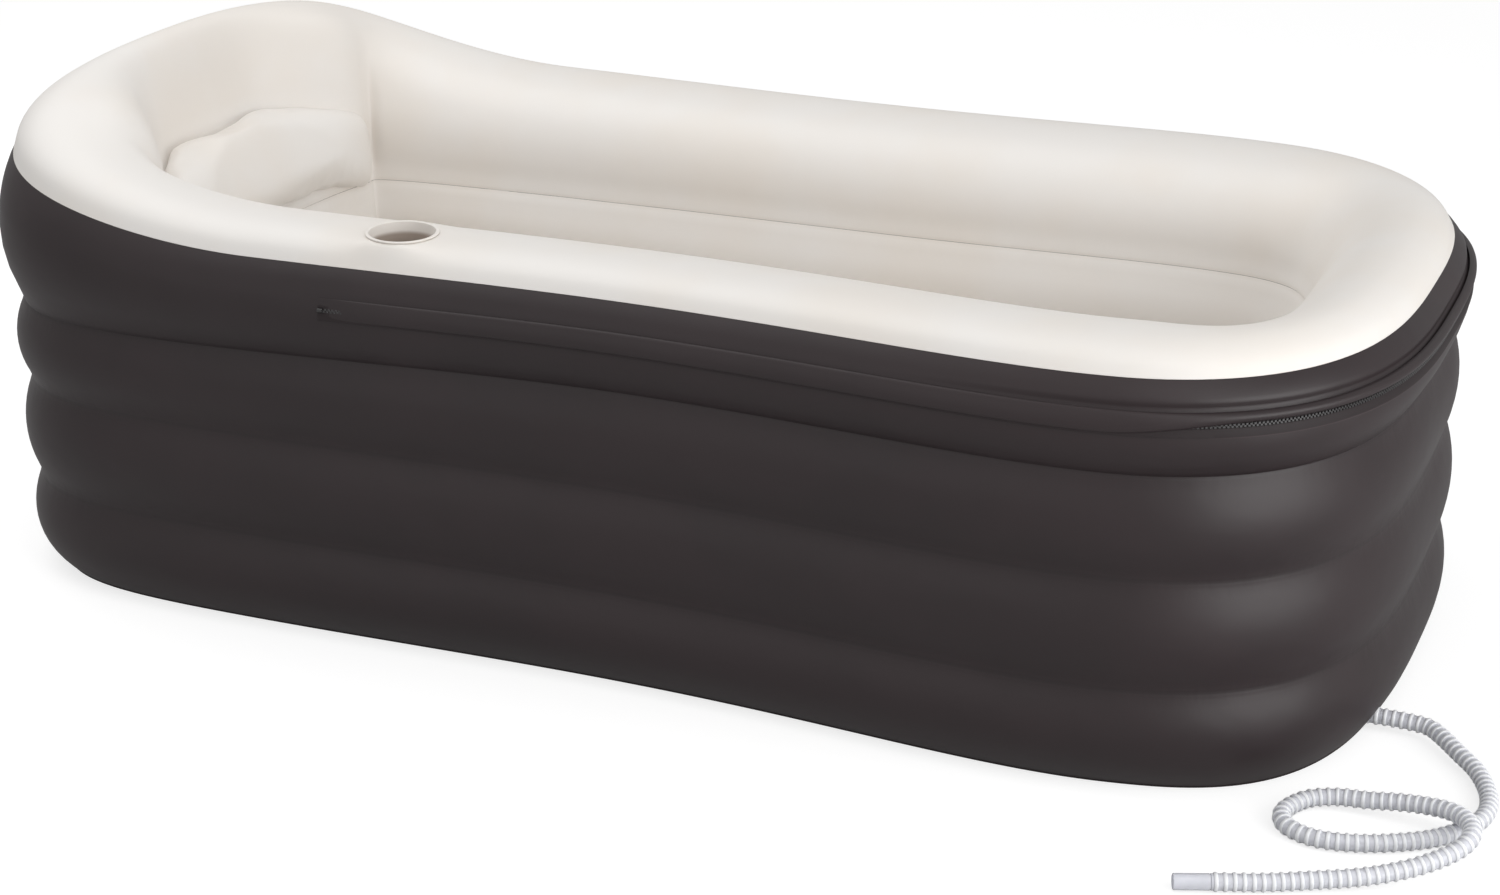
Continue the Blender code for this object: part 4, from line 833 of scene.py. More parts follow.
class Finish:
    """One material, built node by node."""

    def __init__(self, name):
        self.material = bpy.data.materials.new(name)
        self.material.use_nodes = True
        self.tree = self.material.node_tree
        self.shader = self.tree.nodes["Principled BSDF"]

    def node(self, kind, settings, sockets, out=0):
        made = self.tree.nodes.new(kind)
        for name, value in settings.items():
            if name == "stops":
                ramp = made.color_ramp
                for number, (place, colour) in enumerate(value):
                    stop = ramp.elements[number] if number < 2 else ramp.elements.new(place)
                    stop.position = place
                    stop.color = (*colour, 1.0)
            else:
                setattr(made, name, value)
        for name, value in sockets.items():
            self.feed(made.inputs[name], value)
        return Value(self, made.outputs[out])

    def feed(self, socket, value):
        if isinstance(value, Value):
            self.tree.links.new(value.socket, socket)
        else:
            socket.default_value = value

    def place(self):
        return self.node("ShaderNodeTexCoord", {}, {}, "Object")

    def attribute(self, name):
        return self.node("ShaderNodeAttribute", {"attribute_name": name}, {}, "Fac")

    def stretched(self, scale):
        return self.node("ShaderNodeMapping", {}, {"Vector": self.place(), "Scale": scale})

    def noise(self, vector, scale, detail=2.0, roughness=0.5):
        return self.node("ShaderNodeTexNoise", {}, {
            "Vector": vector, "Scale": scale, "Detail": detail, "Roughness": roughness}, "Fac")

    def ease(self, value, low, high, to_low=0.0, to_high=1.0):
        return self.node("ShaderNodeMapRange", {"interpolation_type": "SMOOTHSTEP"}, {
            "Value": value, "From Min": low, "From Max": high,
            "To Min": to_low, "To Max": to_high}, "Result")

    def mix(self, share, first, second):
        return self.node("ShaderNodeMix", {"data_type": "RGBA"}, {
            0: share, 6: self.solid(first), 7: self.solid(second)}, 2)

    def solid(self, colour):
        return colour if isinstance(colour, Value) else (*colour, 1.0)

    def bump(self, height, strength=1.0, distance=1.0):
        return self.node("ShaderNodeBump", {}, {
            "Strength": strength, "Distance": distance, "Height": height}, "Normal")

    def set(self, **inputs):
        for name, value in inputs.items():
            self.feed(self.shader.inputs[name.replace("_", " ")], value)


def shade(colour, share):
    return tuple(min(channel * share, 1.0) for channel in colour)


def make_dark_vinyl(colours):
    """Satin welded vinyl: fine grain, gathers running out of the welds, slight colour change, and darker
    along the welds, partly their own tone and partly painted shade in the creases.
    """
    made = Finish("dark_vinyl_finish")
    colour = tuple(colours.dark)
    place = made.place()
    crease = made.attribute("crease_distance")
    grain = made.noise(place, 900.0, 2.0, 0.6)
    cloud = made.noise(place, 6.0, 3.0, 0.5)
    near_weld = made.ease(crease, 0.0, 0.030, 1.0, 0.0)
    gathers = made.noise(made.stretched((24.0, 24.0, 9.0)), 1.0, 3.0, 0.6)
    dents = made.noise(made.stretched((9.0, 9.0, 16.0)), 1.0, 2.0, 0.5)
    # Darker along the welds: partly the welds' own tone, partly painted shade in the crease valleys.
    weld = made.ease(crease, 0.0010, 0.0040, 1.0, 0.0)
    tone = made.mix(made.ease(cloud, 0.35, 0.65), shade(colour, 0.92), shade(colour, 1.10))
    tone = made.mix(weld * 0.35, tone, shade(colour, 0.55))
    made.set(Base_Color=tone, Roughness=0.40 + cloud * 0.10 + grain * 0.05,
             Specular_IOR_Level=0.5)
    height = grain * 0.00002 + gathers * near_weld * 0.0012 + dents * 0.0016 + weld * -0.0002
    made.set(Normal=made.bump(height))
    return made.material


def make_cream_vinyl(colours):
    """Cream welded vinyl: fine grain, warm clouds, darker and warmer along the welds, partly the welds' own
    tone and partly painted shade in the creases, and painted shade deeper down the cup holder's well.
    """
    made = Finish("cream_vinyl_finish")
    colour = tuple(colours.cream)
    place = made.place()
    crease = made.attribute("crease_distance")
    grain = made.noise(place, 800.0, 2.0, 0.6)
    cloud = made.noise(place, 5.0, 3.0, 0.5)
    near_weld = made.ease(crease, 0.0, 0.035, 1.0, 0.0)
    gathers = made.noise(made.stretched((24.0, 24.0, 10.0)), 1.0, 3.0, 0.6)
    # Darker and warmer along the welds: partly the welds' own tone, partly painted shade in the crease
    # valleys.
    weld = made.ease(crease, 0.0008, 0.0050, 1.0, 0.0)
    # Painted shade: the cup holder's well turns darker and browner with depth below its lip, standing in
    # for the shade inside the well.
    well = made.ease(made.attribute("well_shade_depth"), 0.009, 0.015)
    warm = (colour[0] * 0.985, colour[1] * 0.965, colour[2] * 0.94)
    tone = made.mix(made.ease(cloud, 0.35, 0.65), colour, warm)
    tone = made.mix(weld * 0.15, tone, (colour[0] * 0.72, colour[1] * 0.66, colour[2] * 0.58))
    tone = made.mix(well * 0.9, tone, (colour[0] * 0.42, colour[1] * 0.35, colour[2] * 0.30))
    made.set(Base_Color=tone, Roughness=0.38 + cloud * 0.10 + grain * 0.05,
             Specular_IOR_Level=0.45)
    height = grain * 0.00002 + gathers * near_weld * 0.0008
    made.set(Normal=made.bump(height))
    return made.material


def make_moulded(name, colour, roughness, grain_height):
    """Moulded plastic with a faint texture and slight wear in its sheen."""
    made = Finish(name)
    place = made.place()
    grain = made.noise(place, 1400.0, 2.0, 0.6)
    cloud = made.noise(place, 60.0, 3.0, 0.5)
    tone = made.mix(made.ease(cloud, 0.35, 0.65), shade(colour, 0.93), shade(colour, 1.06))
    made.set(Base_Color=tone, Roughness=roughness + cloud * 0.12)
    made.set(Normal=made.bump(grain * grain_height))
    return made.material


def make_tape(colours):
    """Woven tape, its threads running along and across the zip, with a painted highlight along its hem."""
    made = Finish("zip_tape_finish")
    colour = tuple(colours.tape)
    threads = made.node("ShaderNodeTexWave", {"wave_type": "BANDS", "bands_direction": "DIAGONAL"},
                        {"Vector": made.place(), "Scale": 420.0, "Distortion": 1.5}, "Fac")
    tone = made.mix(threads, shade(colour, 0.85), shade(colour, 1.15))
    # Painted highlight: the marked hem rows are painted four times lighter, a lit line along the tape's
    # lower edge.
    tone = made.mix(made.attribute("hem_highlight"), tone, shade(colour, 4.0))
    made.set(Base_Color=tone, Roughness=0.55 + threads * 0.10, Specular_IOR_Level=0.3)
    made.set(Normal=made.bump(threads * 0.00003))
    return made.material


def make_hose_finish(colours):
    """Opaque white ribs on a clear wall. The rib attribute is 1 on a rib and 0 between."""
    made = Finish("hose_finish")
    rib = made.attribute("rib")
    place = made.place()
    cloud = made.noise(place, 120.0, 2.0, 0.5)
    tone = made.mix(made.ease(cloud, 0.3, 0.7), shade(tuple(colours.rib), 0.95), tuple(colours.rib))
    made.set(Base_Color=tone, Roughness=0.32 + cloud * 0.08)
    made.set(Normal=made.bump(cloud * 0.00005))
    clear = made.tree.nodes.new("ShaderNodeBsdfPrincipled")
    clear_tone = made.mix(cloud, shade(tuple(colours.hose), 0.94), shade(tuple(colours.hose), 1.05))
    made.feed(clear.inputs["Base Color"], clear_tone)
    clear.inputs["Roughness"].default_value = 0.12
    clear.inputs["Transmission Weight"].default_value = 0.35
    clear.inputs["IOR"].default_value = 1.42
    blend = made.node("ShaderNodeMixShader", {}, {0: made.ease(rib, 0.35, 0.6)})
    shader = blend.socket.node
    made.tree.links.new(clear.outputs[0], shader.inputs[1])
    made.tree.links.new(made.shader.outputs[0], shader.inputs[2])
    output = made.tree.nodes["Material Output"]
    made.tree.links.new(shader.outputs[0], output.inputs["Surface"])
    return made.material


def make_rubber(colours):
    made = Finish("rubber_finish")
    cloud = made.noise(made.place(), 300.0, 3.0, 0.6)
    colour = tuple(colours.rubber)
    made.set(Base_Color=made.mix(cloud, shade(colour, 0.9), shade(colour, 1.05)),
             Roughness=0.55 + cloud * 0.15)
    made.set(Normal=made.bump(cloud * 0.00004))
    return made.material


# Shared outline, worked out once

class Shared:
    outline = None
    slices = None

    @classmethod
    def get(cls):
        if cls.slices is None:
            cls.outline = Outline()
            cls.slices = cls.outline.fine_slices(sizes().steps)
        return cls.slices


def sizes():
    return bpy.context.scene.bathtub_sizes


def colours():
    return bpy.context.scene.bathtub_colours


def write_attribute(piece, name, values):
    """Stores one number for each point of a piece, for its finish to read."""
    attribute = piece.data.attributes.new(name, "FLOAT", "POINT")
    attribute.data.foreach_set("value", values)


def mark_creases(piece, levels):
    """Stores each point's distance up or down the wall from the nearest weld."""
    values = []
    for vert in piece.data.vertices:
        values.append(min(abs(vert.co.z - level) for level in levels(vert.co)))
    write_attribute(piece, "crease_distance", values)


def drooped(x):
    return UPPER_CREASE_HEIGHT - CREASE_DROOP * smooth_step((DROOP_START - x) / DROOP_REACH)


# Operators

class BATHTUB_OT_finishes(bpy.types.Operator):
    """Makes the materials of all the pieces"""
    bl_idname = "bathtub.finishes"
    bl_label = "Make Finishes"

    def execute(self, context):
        tones = colours()
        make_dark_vinyl(tones)
        make_cream_vinyl(tones)
        make_moulded("dark_plastic_finish", tuple(tones.dark_plastic), 0.34, 0.00002)
        make_moulded("white_plastic_finish", tuple(tones.white_plastic), 0.28, 0.00001)
        make_tape(tones)
        make_hose_finish(tones)
        make_rubber(tones)
        return {"FINISHED"}


class BATHTUB_OT_camera(bpy.types.Operator):
    """Adds the camera at the photograph's viewing angle"""
    bl_idname = "bathtub.camera"
    bl_label = "Add Camera"

    def execute(self, context):
        stage = context.scene.bathtub_stage
        back = Vector((math.sin(stage.yaw) * math.cos(stage.pitch),
                       -math.cos(stage.yaw) * math.cos(stage.pitch), math.sin(stage.pitch)))
        side = Vector((0.0, 0.0, 1.0)).cross(back).normalized()
        up = back.cross(side)
        rows = Matrix((side, up, back)).transposed().to_4x4()
        rows.translation = Vector(stage.target) + back * stage.distance
        data = bpy.data.cameras.new("photo_camera")
        data.sensor_width = 36.0
        data.sensor_fit = "HORIZONTAL"
        data.lens = stage.lens
        camera = bpy.data.objects.new("photo_camera", data)
        context.scene.collection.objects.link(camera)
        camera.matrix_world = rows
        context.scene.camera = camera
        return {"FINISHED"}


def hose_line():
    """The hose's centre line, both ends straight for one diameter, and its last heading."""
    start = Vector(HOSE_START)
    rest = HOSE_RADIUS + HOSE_FLOOR_CLEARANCE
    points = [start + Vector((2.0 * HOSE_RADIUS, 0.0, 0.0))]
    points += [Vector((x, y, rest + lift)) for x, y, lift in HOSE_ROUTE]
    line = [start]
    for index in range(len(points) - 1):
        for step in range(ROUTE_SAMPLES):
            line.append(spline_point(points, index + step / ROUTE_SAMPLES))
    heading = (points[-1] - points[-2]).normalized()
    return line + [points[-1], points[-1] + heading * 2.0 * HOSE_RADIUS], heading


def line_length(line):
    return sum((b - a).length for a, b in zip(line, line[1:]))


def points_along(line, distances):
    """Points and eased directions at the given distances along a line of samples."""
    reached = [0.0]
    for before, after in zip(line, line[1:]):
        reached.append(reached[-1] + (after - before).length)
    placed = []
    index = 0
    for wanted in distances:
        while index < len(line) - 2 and reached[index + 1] < wanted:
            index += 1
        span = reached[index + 1] - reached[index]
        share = (wanted - reached[index]) / span
        before = (line[index + 1] - line[max(index - 1, 0)]).normalized()
        after = (line[min(index + 2, len(line) - 1)] - line[index]).normalized()
        placed.append((line[index].lerp(line[index + 1], share),
                       before.lerp(after, share).normalized()))
    return placed


def tube(name, line, outer, bore_radius, bore_count, sides):
    """A tube with a plain bore, as one closed skin. The outer list holds (distance, radius)."""
    length = line_length(line)
    rings = [(centre, way, radius) for (centre, way), (_, radius)
             in zip(points_along(line, [d for d, _ in outer]), outer)]
    bore = points_along(line, [length * k / bore_count for k in range(bore_count + 1)])
    rings += [(centre, way, bore_radius) for centre, way in bore[::-1]]

    def place(column, row):
        centre, way, radius = rings[column]
        level = way.cross(Vector((0.0, 0.0, 1.0))).normalized()
        upright = level.cross(way).normalized()
        angle = math.tau * (row + 0.5) / sides
        return centre + (level * math.cos(angle) + upright * math.sin(angle)) * radius

    piece = draped_grid(name, len(rings), sides, place, wrap_columns=True, wrap_rows=True)
    close_and_turn_out(piece)
    return piece


class BATHTUB_OT_hose(bpy.types.Operator):
    """Adds the ribbed drain hose and its smooth end cuff"""
    bl_idname = "bathtub.hose"
    bl_label = "Add Drain Hose"

    def execute(self, context):
        line, heading = hose_line()
        length = line_length(line)
        ribs = int(length / HOSE_RIB_PITCH)
        pitch = length / ribs
        outer = []
        for rib in range(ribs):
            for share, height in ((0.0, 0.0), (0.24, 0.0), (0.33, 0.72), (0.41, 0.96),
                                  (0.50, 1.0), (0.59, 0.96), (0.67, 0.72), (0.76, 0.0)):
                radius = HOSE_GROOVE_RADIUS + (HOSE_RADIUS - HOSE_GROOVE_RADIUS) * height
                outer.append(((rib + share) * pitch, radius))
        outer.append((length, HOSE_GROOVE_RADIUS))
        sides = sizes().hose_sides
        hose = tube("ribbed_hose", line, outer, HOSE_BORE_RADIUS, 240, sides)
        path = [tuple(p) for p, _ in points_along(line, [length * k / 250 for k in range(251)])]
        samples = [Vector(p) for p, _ in points_along(line, [length * k / 2000 for k in range(2001)])]
        values = self.rib_values(hose, samples)
        write_attribute(hose, "rib", values)
        finish_piece(hose, "tub", "hose_finish", ("drain_hose",))
        start = line[-1] + heading * GAP
        cuff_line = [start, start + heading * CUFF_LENGTH]
        round_end = 0.0008
        outline = [(0.0, CUFF_RADIUS - round_end), (round_end, CUFF_RADIUS),
                   (CUFF_LENGTH - round_end, CUFF_RADIUS), (CUFF_LENGTH, CUFF_RADIUS - round_end)]
        cuff = tube("hose_cuff", cuff_line, outline, CUFF_BORE_RADIUS, 1, 2 * sides)
        write_attribute(cuff, "rib", [0.0] * len(cuff.data.vertices))
        finish_piece(cuff, "tub", "hose_finish", ("hose_end_cuff",))
        return {"FINISHED"}

    def rib_values(self, hose, samples):
        """1 on the ribs' outside and 0 in the grooves and the bore, from each point's distance."""
        tree = KDTree(len(samples))
        for index, point in enumerate(samples):
            tree.insert(point, index)
        tree.balance()
        span = HOSE_RADIUS - HOSE_GROOVE_RADIUS
        values = []
        for vert in hose.data.vertices:
            _, _, distance = tree.find(vert.co)
            values.append(min(max((distance - HOSE_GROOVE_RADIUS) / span, 0.0), 1.0))
        return values


class BATHTUB_OT_outer_wall(bpy.types.Operator):
    """Adds the charcoal outer wall with its stacked bulges"""
    bl_idname = "bathtub.outer_wall"
    bl_label = "Add Outer Wall"

    def execute(self, context):
        slices = Shared.get()
        rows = sizes().rows

        def place(column, row):
            piece = slices[column]
            bulge, step = divmod(row, rows)
            if bulge == 4:
                bulge, step = 3, rows
            share = top_share(step / rows) if bulge == 3 else step / rows
            return piece.place(*outer_point(piece, bulge, share))

        wall = draped_grid("outer_wall", len(slices), 4 * rows, place, wrap_columns=True)
        face_towards(wall, lambda centre: Vector((centre.x, centre.y, 0.0)))
        mark_creases(wall, lambda co: (LOWER_CREASE_HEIGHT, MIDDLE_CREASE_HEIGHT, drooped(co.x)))
        apply_modifier(wall, "SOLIDIFY", thickness=sizes().skin, offset=-1.0)
        press_flat(wall, WALL_VALVE_FRAME, 0.021, 0.040, 0.0)
        round_hole(wall, WALL_VALVE_FRAME, 0.0203, -0.02, 0.02)
        round_hole(wall, DRAIN_FRAME, 0.0103, OUTLET_FACE_X - 0.04, OUTLET_FACE_X + 0.02)
        finish_piece(wall, "tub", "dark_vinyl_finish", ("outer_wall_skin",))
        return {"FINISHED"}


def cup_settle(point, across):
    """Levels the rim round the cup holder's mouth, and leaves the seam where it is."""
    off = math.hypot(point.x - CUP_X, point.y - CUP_Y)
    weight = 1.0 - smooth_step((off - CUP_RADIUS - 0.006) / 0.022)
    weight *= smooth_step(across / 0.016)
    if weight > 0.0 and point.z > RIM_HEIGHT - 0.05:
        point.z += (RIM_HEIGHT - 0.0002 - point.z) * weight
    return point


class BATHTUB_OT_rim(bpy.types.Operator):
    """Adds the cream rim with its raised head end"""
    bl_idname = "bathtub.rim"
    bl_label = "Add Rim"

    def execute(self, context):
        slices = Shared.get()
        lines = [rim_points(piece, 5) for piece in slices]

        def place(column, row):
            across, height = lines[column][row]
            return cup_settle(slices[column].place(across, height), across)

        rim = draped_grid("rim", len(slices), len(lines[0]) - 1, place, wrap_columns=True)
        face_towards(rim, lambda centre: Vector((0.0, 0.0, 1.0)))
        mark_creases(rim, lambda co: (drooped(co.x),))
        apply_modifier(rim, "SOLIDIFY", thickness=sizes().skin, offset=-1.0)
        place_cup = ((CUP_X, CUP_Y, RIM_HEIGHT), (1.0, 0.0, 0.0), (0.0, 1.0, 0.0), (0.0, 0.0, 1.0))
        round_hole(rim, place_cup, CUP_RADIUS + CUP_WALL + GAP, -0.03, 0.03, 64)
        finish_piece(rim, "tub", "cream_vinyl_finish", ("rim_skin",))
        return {"FINISHED"}


class BATHTUB_OT_inner_wall(bpy.types.Operator):
    """Adds the cream inner wall"""
    bl_idname = "bathtub.inner_wall"
    bl_label = "Add Inner Wall"

    def execute(self, context):
        slices = Shared.get()
        rows = sizes().rows

        def place(column, row):
            piece = slices[column]
            bulge, step = divmod(row, rows)
            if bulge == 3:
                bulge, step = 2, rows
            return piece.place(*inner_point(piece, bulge, step / rows))

        wall = draped_grid("inner_wall", len(slices), 3 * rows, place, wrap_columns=True)
        face_towards(wall, lambda centre: Vector((-centre.x, -centre.y, 0.0)))
        mark_creases(wall, lambda co: (LOWER_CREASE_HEIGHT, MIDDLE_CREASE_HEIGHT, drooped(co.x)))
        apply_modifier(wall, "SOLIDIFY", thickness=sizes().skin, offset=-1.0)
        round_hole(wall, DRAIN_FRAME, 0.0123, INLET_FACE_X - 0.01, INLET_FACE_X + 0.04)
        finish_piece(wall, "tub", "cream_vinyl_finish", ("inner_wall_skin",))
        return {"FINISHED"}


class BATHTUB_OT_base(bpy.types.Operator):
    """Adds the flat base sheet"""
    bl_idname = "bathtub.base"
    bl_label = "Add Base Sheet"

    def execute(self, context):
        slices = Shared.get()
        deselect_all()
        bpy.ops.mesh.primitive_circle_add(vertices=len(slices), radius=1.0, fill_type="NGON")
        base = bpy.context.object
        base.name = "base"
        base.data.name = "base"
        for vert, piece in zip(base.data.vertices, slices):
            vert.co = piece.place(piece.base_inset(), 0.0)
        bpy.ops.object.mode_set(mode="EDIT")
        bpy.ops.mesh.select_all(action="SELECT")
        bpy.ops.mesh.extrude_region_move(
            TRANSFORM_OT_translate={"value": (0.0, 0.0, BASE_THICKNESS)})
        bpy.ops.object.mode_set(mode="OBJECT")
        close_and_turn_out(base)
        write_attribute(base, "crease_distance", [1.0] * len(base.data.vertices))
        finish_piece(base, "tub", "dark_vinyl_finish", ("base_sheet",))
        return {"FINISHED"}


def swell(piece, voxel, cap):
    """Fills a closed shape with air by a cloth simulation and returns the swollen piece."""
    apply_modifier(piece, "REMESH", mode="VOXEL", voxel_size=voxel)
    before = [vert.co.copy() for vert in piece.data.vertices]
    scene = bpy.context.scene
    select_only(piece)
    cloth = piece.modifiers.new("air", "CLOTH")
    cloth.settings.use_pressure = True
    cloth.settings.uniform_pressure_force = AIR_PRESSURE
    cloth.settings.effector_weights.gravity = 0.0
    cloth.settings.quality = 5
    cloth.point_cache.frame_start = 1
    cloth.point_cache.frame_end = AIR_FRAMES
    for number in range(1, AIR_FRAMES + 1):
        scene.frame_set(number)
    bpy.ops.object.modifier_apply(modifier=cloth.name)
    scene.frame_set(1)
    for vert, start in zip(piece.data.vertices, before):
        move = vert.co - start
        if move.length > cap:
            vert.co = start + move.normalized() * cap
    return piece


class BATHTUB_OT_floor_cushion(bpy.types.Operator):
    """Adds the air-filled floor cushion"""
    bl_idname = "bathtub.floor_cushion"
    bl_label = "Add Floor Cushion"

    def execute(self, context):
        slices = Shared.get()[::2]
        reach = INNER_BULGE_DEPTH + FLOOR_CUSHION_CLEARANCE
        edge = [s.place(s.wall_width + reach, 0.0) for s in slices]
        half_length = max(abs(p.x) for p in edge)
        half_width = max(abs(p.y) for p in edge)
        shoulder = FLOOR_CUSHION_HEIGHT - FLOOR_CUSHION_CROWN
        side_rows = 10
        rows = []
        for step in range(side_rows + 1):
            angle = math.pi * (step / side_rows - 0.5)
            rows.append((FLOOR_CUSHION_DRAW * (1.0 - math.cos(angle)),
                         BASE_TOP + (shoulder - BASE_TOP) * (math.sin(angle) + 1.0) / 2.0))
        for step in range(1, 13):
            share = step / 12
            inset = FLOOR_CUSHION_DRAW + (half_width * 0.96 - FLOOR_CUSHION_DRAW) * share
            rows.append((inset, shoulder + FLOOR_CUSHION_CROWN * math.sin(share * math.pi / 2.0)))

        def place(column, row):
            inset, height = rows[row]
            point = edge[column]
            return Vector((point.x * (1.0 - inset / half_length),
                           point.y * (1.0 - inset / half_width), height))

        pad = draped_grid("floor_pad", len(edge), len(rows) - 1, place, wrap_columns=True)
        close_and_turn_out(pad, fill=True)
        swell(pad, FLOOR_CUSHION_VOXEL, FLOOR_CUSHION_SWELL)
        write_attribute(pad, "crease_distance", [1.0] * len(pad.data.vertices))
        press_flat(pad, FLOOR_VALVE_FRAME, CUSHION_VALVE_SEAT_RADIUS,
                   CUSHION_VALVE_SEAT_REACH, 0.0)
        sump = ((INLET_FACE_X, DRAIN_Y, 0.0), (1.0, 0.0, 0.0), (0.0, 1.0, 0.0), (0.0, 0.0, 1.0))
        round_hole(pad, sump, SUMP_RADIUS, -0.02, 0.10)
        round_hole(pad, FLOOR_VALVE_FRAME, CUSHION_VALVE_HOLE_RADIUS,
                   CUSHION_VALVE_HOLE_LOW, CUSHION_VALVE_HOLE_HIGH)
        finish_piece(pad, "tub", "cream_vinyl_finish", ("floor_cushion",))
        return {"FINISHED"}


def inner_side(piece):
    return piece.place(piece.wall_width, 0.0).y


def offset_line(points, distance):
    """The same line moved sideways, mitred at its corners."""
    sides = []
    for (a0, h0), (a1, h1) in zip(points, points[1:]):
        length = math.hypot(a1 - a0, h1 - h0)
        sides.append(((h1 - h0) / length, -(a1 - a0) / length))
    moved = []
    for index, (across, height) in enumerate(points):
        before = sides[max(index - 1, 0)]
        after = sides[min(index, len(sides) - 1)]
        scale = distance / max(1.0 + before[0] * after[0] + before[1] * after[1], 0.35)
        moved.append((across + (before[0] + after[0]) * scale,
                      height + (before[1] + after[1]) * scale))
    return moved


class BATHTUB_OT_backrest(bpy.types.Operator):
    """Adds the reclined backrest cushion"""
    bl_idname = "bathtub.backrest"
    bl_label = "Add Backrest"

    def execute(self, context):
        half = BACKREST_WIDTH / 2.0
        heads = sorted((s for s in Shared.get() if s.head + s.corner > 0.999
                        and abs(inner_side(s)) <= half - PAD_SLACK), key=inner_side)
        back_steps, front_steps = 8, 26

        def loop(piece):
            share = min(abs(inner_side(piece)) / half, 1.0)
            fullness = math.sqrt(1.0 - share ** BACKREST_END_POWER)
            section = piece.rim_section()
            across, height = section[-1]
            section[-1] = (across, height + GAP)
            slope = section[VALLEY_POINT:]
            drop = BACKREST_TOP_DROP * share ** BACKREST_DROP_POWER
            reach = drop / (slope[0][1] - slope[1][1])
            slope[0] = tuple(Vector(slope[0]).lerp(Vector(slope[1]), reach))
            back = offset_line(slope, -2.0 * GAP)
            top, bottom = Vector(back[0]), Vector(back[-1])
            chord = bottom - top
            outward = Vector((-chord.y, chord.x)).normalized()
            if outward.x < 0.0:
                outward.negate()
            depth = BACKREST_END_DEPTH + (BACKREST_DEPTH - BACKREST_END_DEPTH) * fullness
            depth -= PAD_SLACK
            points = [spline_point(back, 2.0 * k / back_steps) for k in range(back_steps + 1)]
            for step in range(1, front_steps):
                angle = math.pi * step / front_steps
                along = (1.0 - math.cos(angle)) / 2.0
                rise = math.sqrt(max(1.0 - abs(2.0 * along - 1.0) ** BACKREST_SWELL_POWER, 0.0))
                points.append(bottom.lerp(top, along) + outward * depth * rise)
            return points

        loops = [loop(piece) for piece in heads]
        count = len(loops[0])

        def place(column, row):
            return heads[column].place(*loops[column][row])

        pad = draped_grid("backrest_pad", len(heads) - 1, count, place, wrap_rows=True)
        close_and_turn_out(pad, fill=True)
        swell(pad, BACKREST_VOXEL, BACKREST_SWELL)
        apply_modifier(pad, "SMOOTH", factor=0.5, iterations=12)
        apply_modifier(pad, "SUBSURF", levels=1, render_levels=1)
        write_attribute(pad, "crease_distance", [1.0] * len(pad.data.vertices))
        press_flat(pad, BACKREST_VALVE_FRAME, CUSHION_VALVE_SEAT_RADIUS,
                   CUSHION_VALVE_SEAT_REACH, 0.0, 0.02)
        round_hole(pad, BACKREST_VALVE_FRAME, CUSHION_VALVE_HOLE_RADIUS,
                   CUSHION_VALVE_HOLE_LOW, CUSHION_VALVE_HOLE_HIGH)
        finish_piece(pad, "tub", "cream_vinyl_finish", ("backrest_cushion",))
        return {"FINISHED"}


class BATHTUB_OT_cup_holder(bpy.types.Operator):
    """Adds the cup holder's well and lip"""
    bl_idname = "bathtub.cup_holder"
    bl_label = "Add Cup Holder"

    def execute(self, context):
        seat = RIM_HEIGHT + GAP
        outer = CUP_RADIUS + CUP_WALL
        top = seat + CUP_LIP_HEIGHT
        bottom = top - CUP_DEPTH
        profile = [(0.020, bottom - CUP_WALL), (outer - 0.006, bottom - CUP_WALL),
                   (outer, bottom + 0.004), (outer, seat), (outer + CUP_LIP_WIDTH, seat),
                   (outer + CUP_LIP_WIDTH, top), (CUP_RADIUS, top), (CUP_RADIUS, bottom + 0.006),
                   (CUP_RADIUS - 0.006, bottom), (0.020, bottom + 0.0005)]
        cup = turned("cup_well", profile, 64, bevel=0.0006)
        set_place(cup, Matrix.Translation((CUP_X, CUP_Y, 0.0)))
        write_attribute(cup, "crease_distance", [1.0] * len(cup.data.vertices))
        # Depth below the lip, which drives the painted shade down the well.
        write_attribute(cup, "well_shade_depth", [top - vert.co.z for vert in cup.data.vertices])
        finish_piece(cup, "tub", "cream_vinyl_finish", ("cup_holder",))
        return {"FINISHED"}


def zip_route():
    """The slices from the near end of the zip, round the foot, to its far end."""
    slices = Shared.get()
    count = len(slices)
    start = min(range(count), key=lambda k: slices[k].point.x)
    ring = [slices[(start + k) % count] for k in range(count)]
    chosen = []
    for before, after in zip(ring, ring[1:]):
        x0, x1 = before.point.x, after.point.x
        if x0 < ZIP_END_X <= x1 or x1 < ZIP_END_X <= x0:
            chosen.append(before.blend(after, (ZIP_END_X - x0) / (x1 - x0)))
        if after.point.x > ZIP_END_X:
            chosen.append(after)
    return chosen


def on_facet(piece, along, lift):
    foot, run, normal = zip_facet(piece)
    return piece.place(*(foot + run * along + normal * lift))


def zip_places():
    """Where each strip starts along the facet."""
    lower = ZIP_EDGE_MARGIN
    teeth = lower + ZIP_LOWER_TAPE_WIDTH + GAP
    upper = teeth + ZIP_TEETH_WIDTH + GAP
    welt = upper + ZIP_UPPER_TAPE_WIDTH + GAP
    return lower, teeth, upper, welt


def strip(name, route, corners, marked=()):
    """A closed strip along the route. The corners are (along, lift) pairs on the facet."""
    def place(column, row):
        along, lift = corners[row]
        if row in marked:
            along += HEM_REACH * cover_share(route[column])
        return on_facet(route[column], along, lift)

    piece = draped_grid(name, len(route) - 1, len(corners), place, wrap_rows=True,
                        marked=marked)
    close_and_turn_out(piece, fill=True)
    return piece


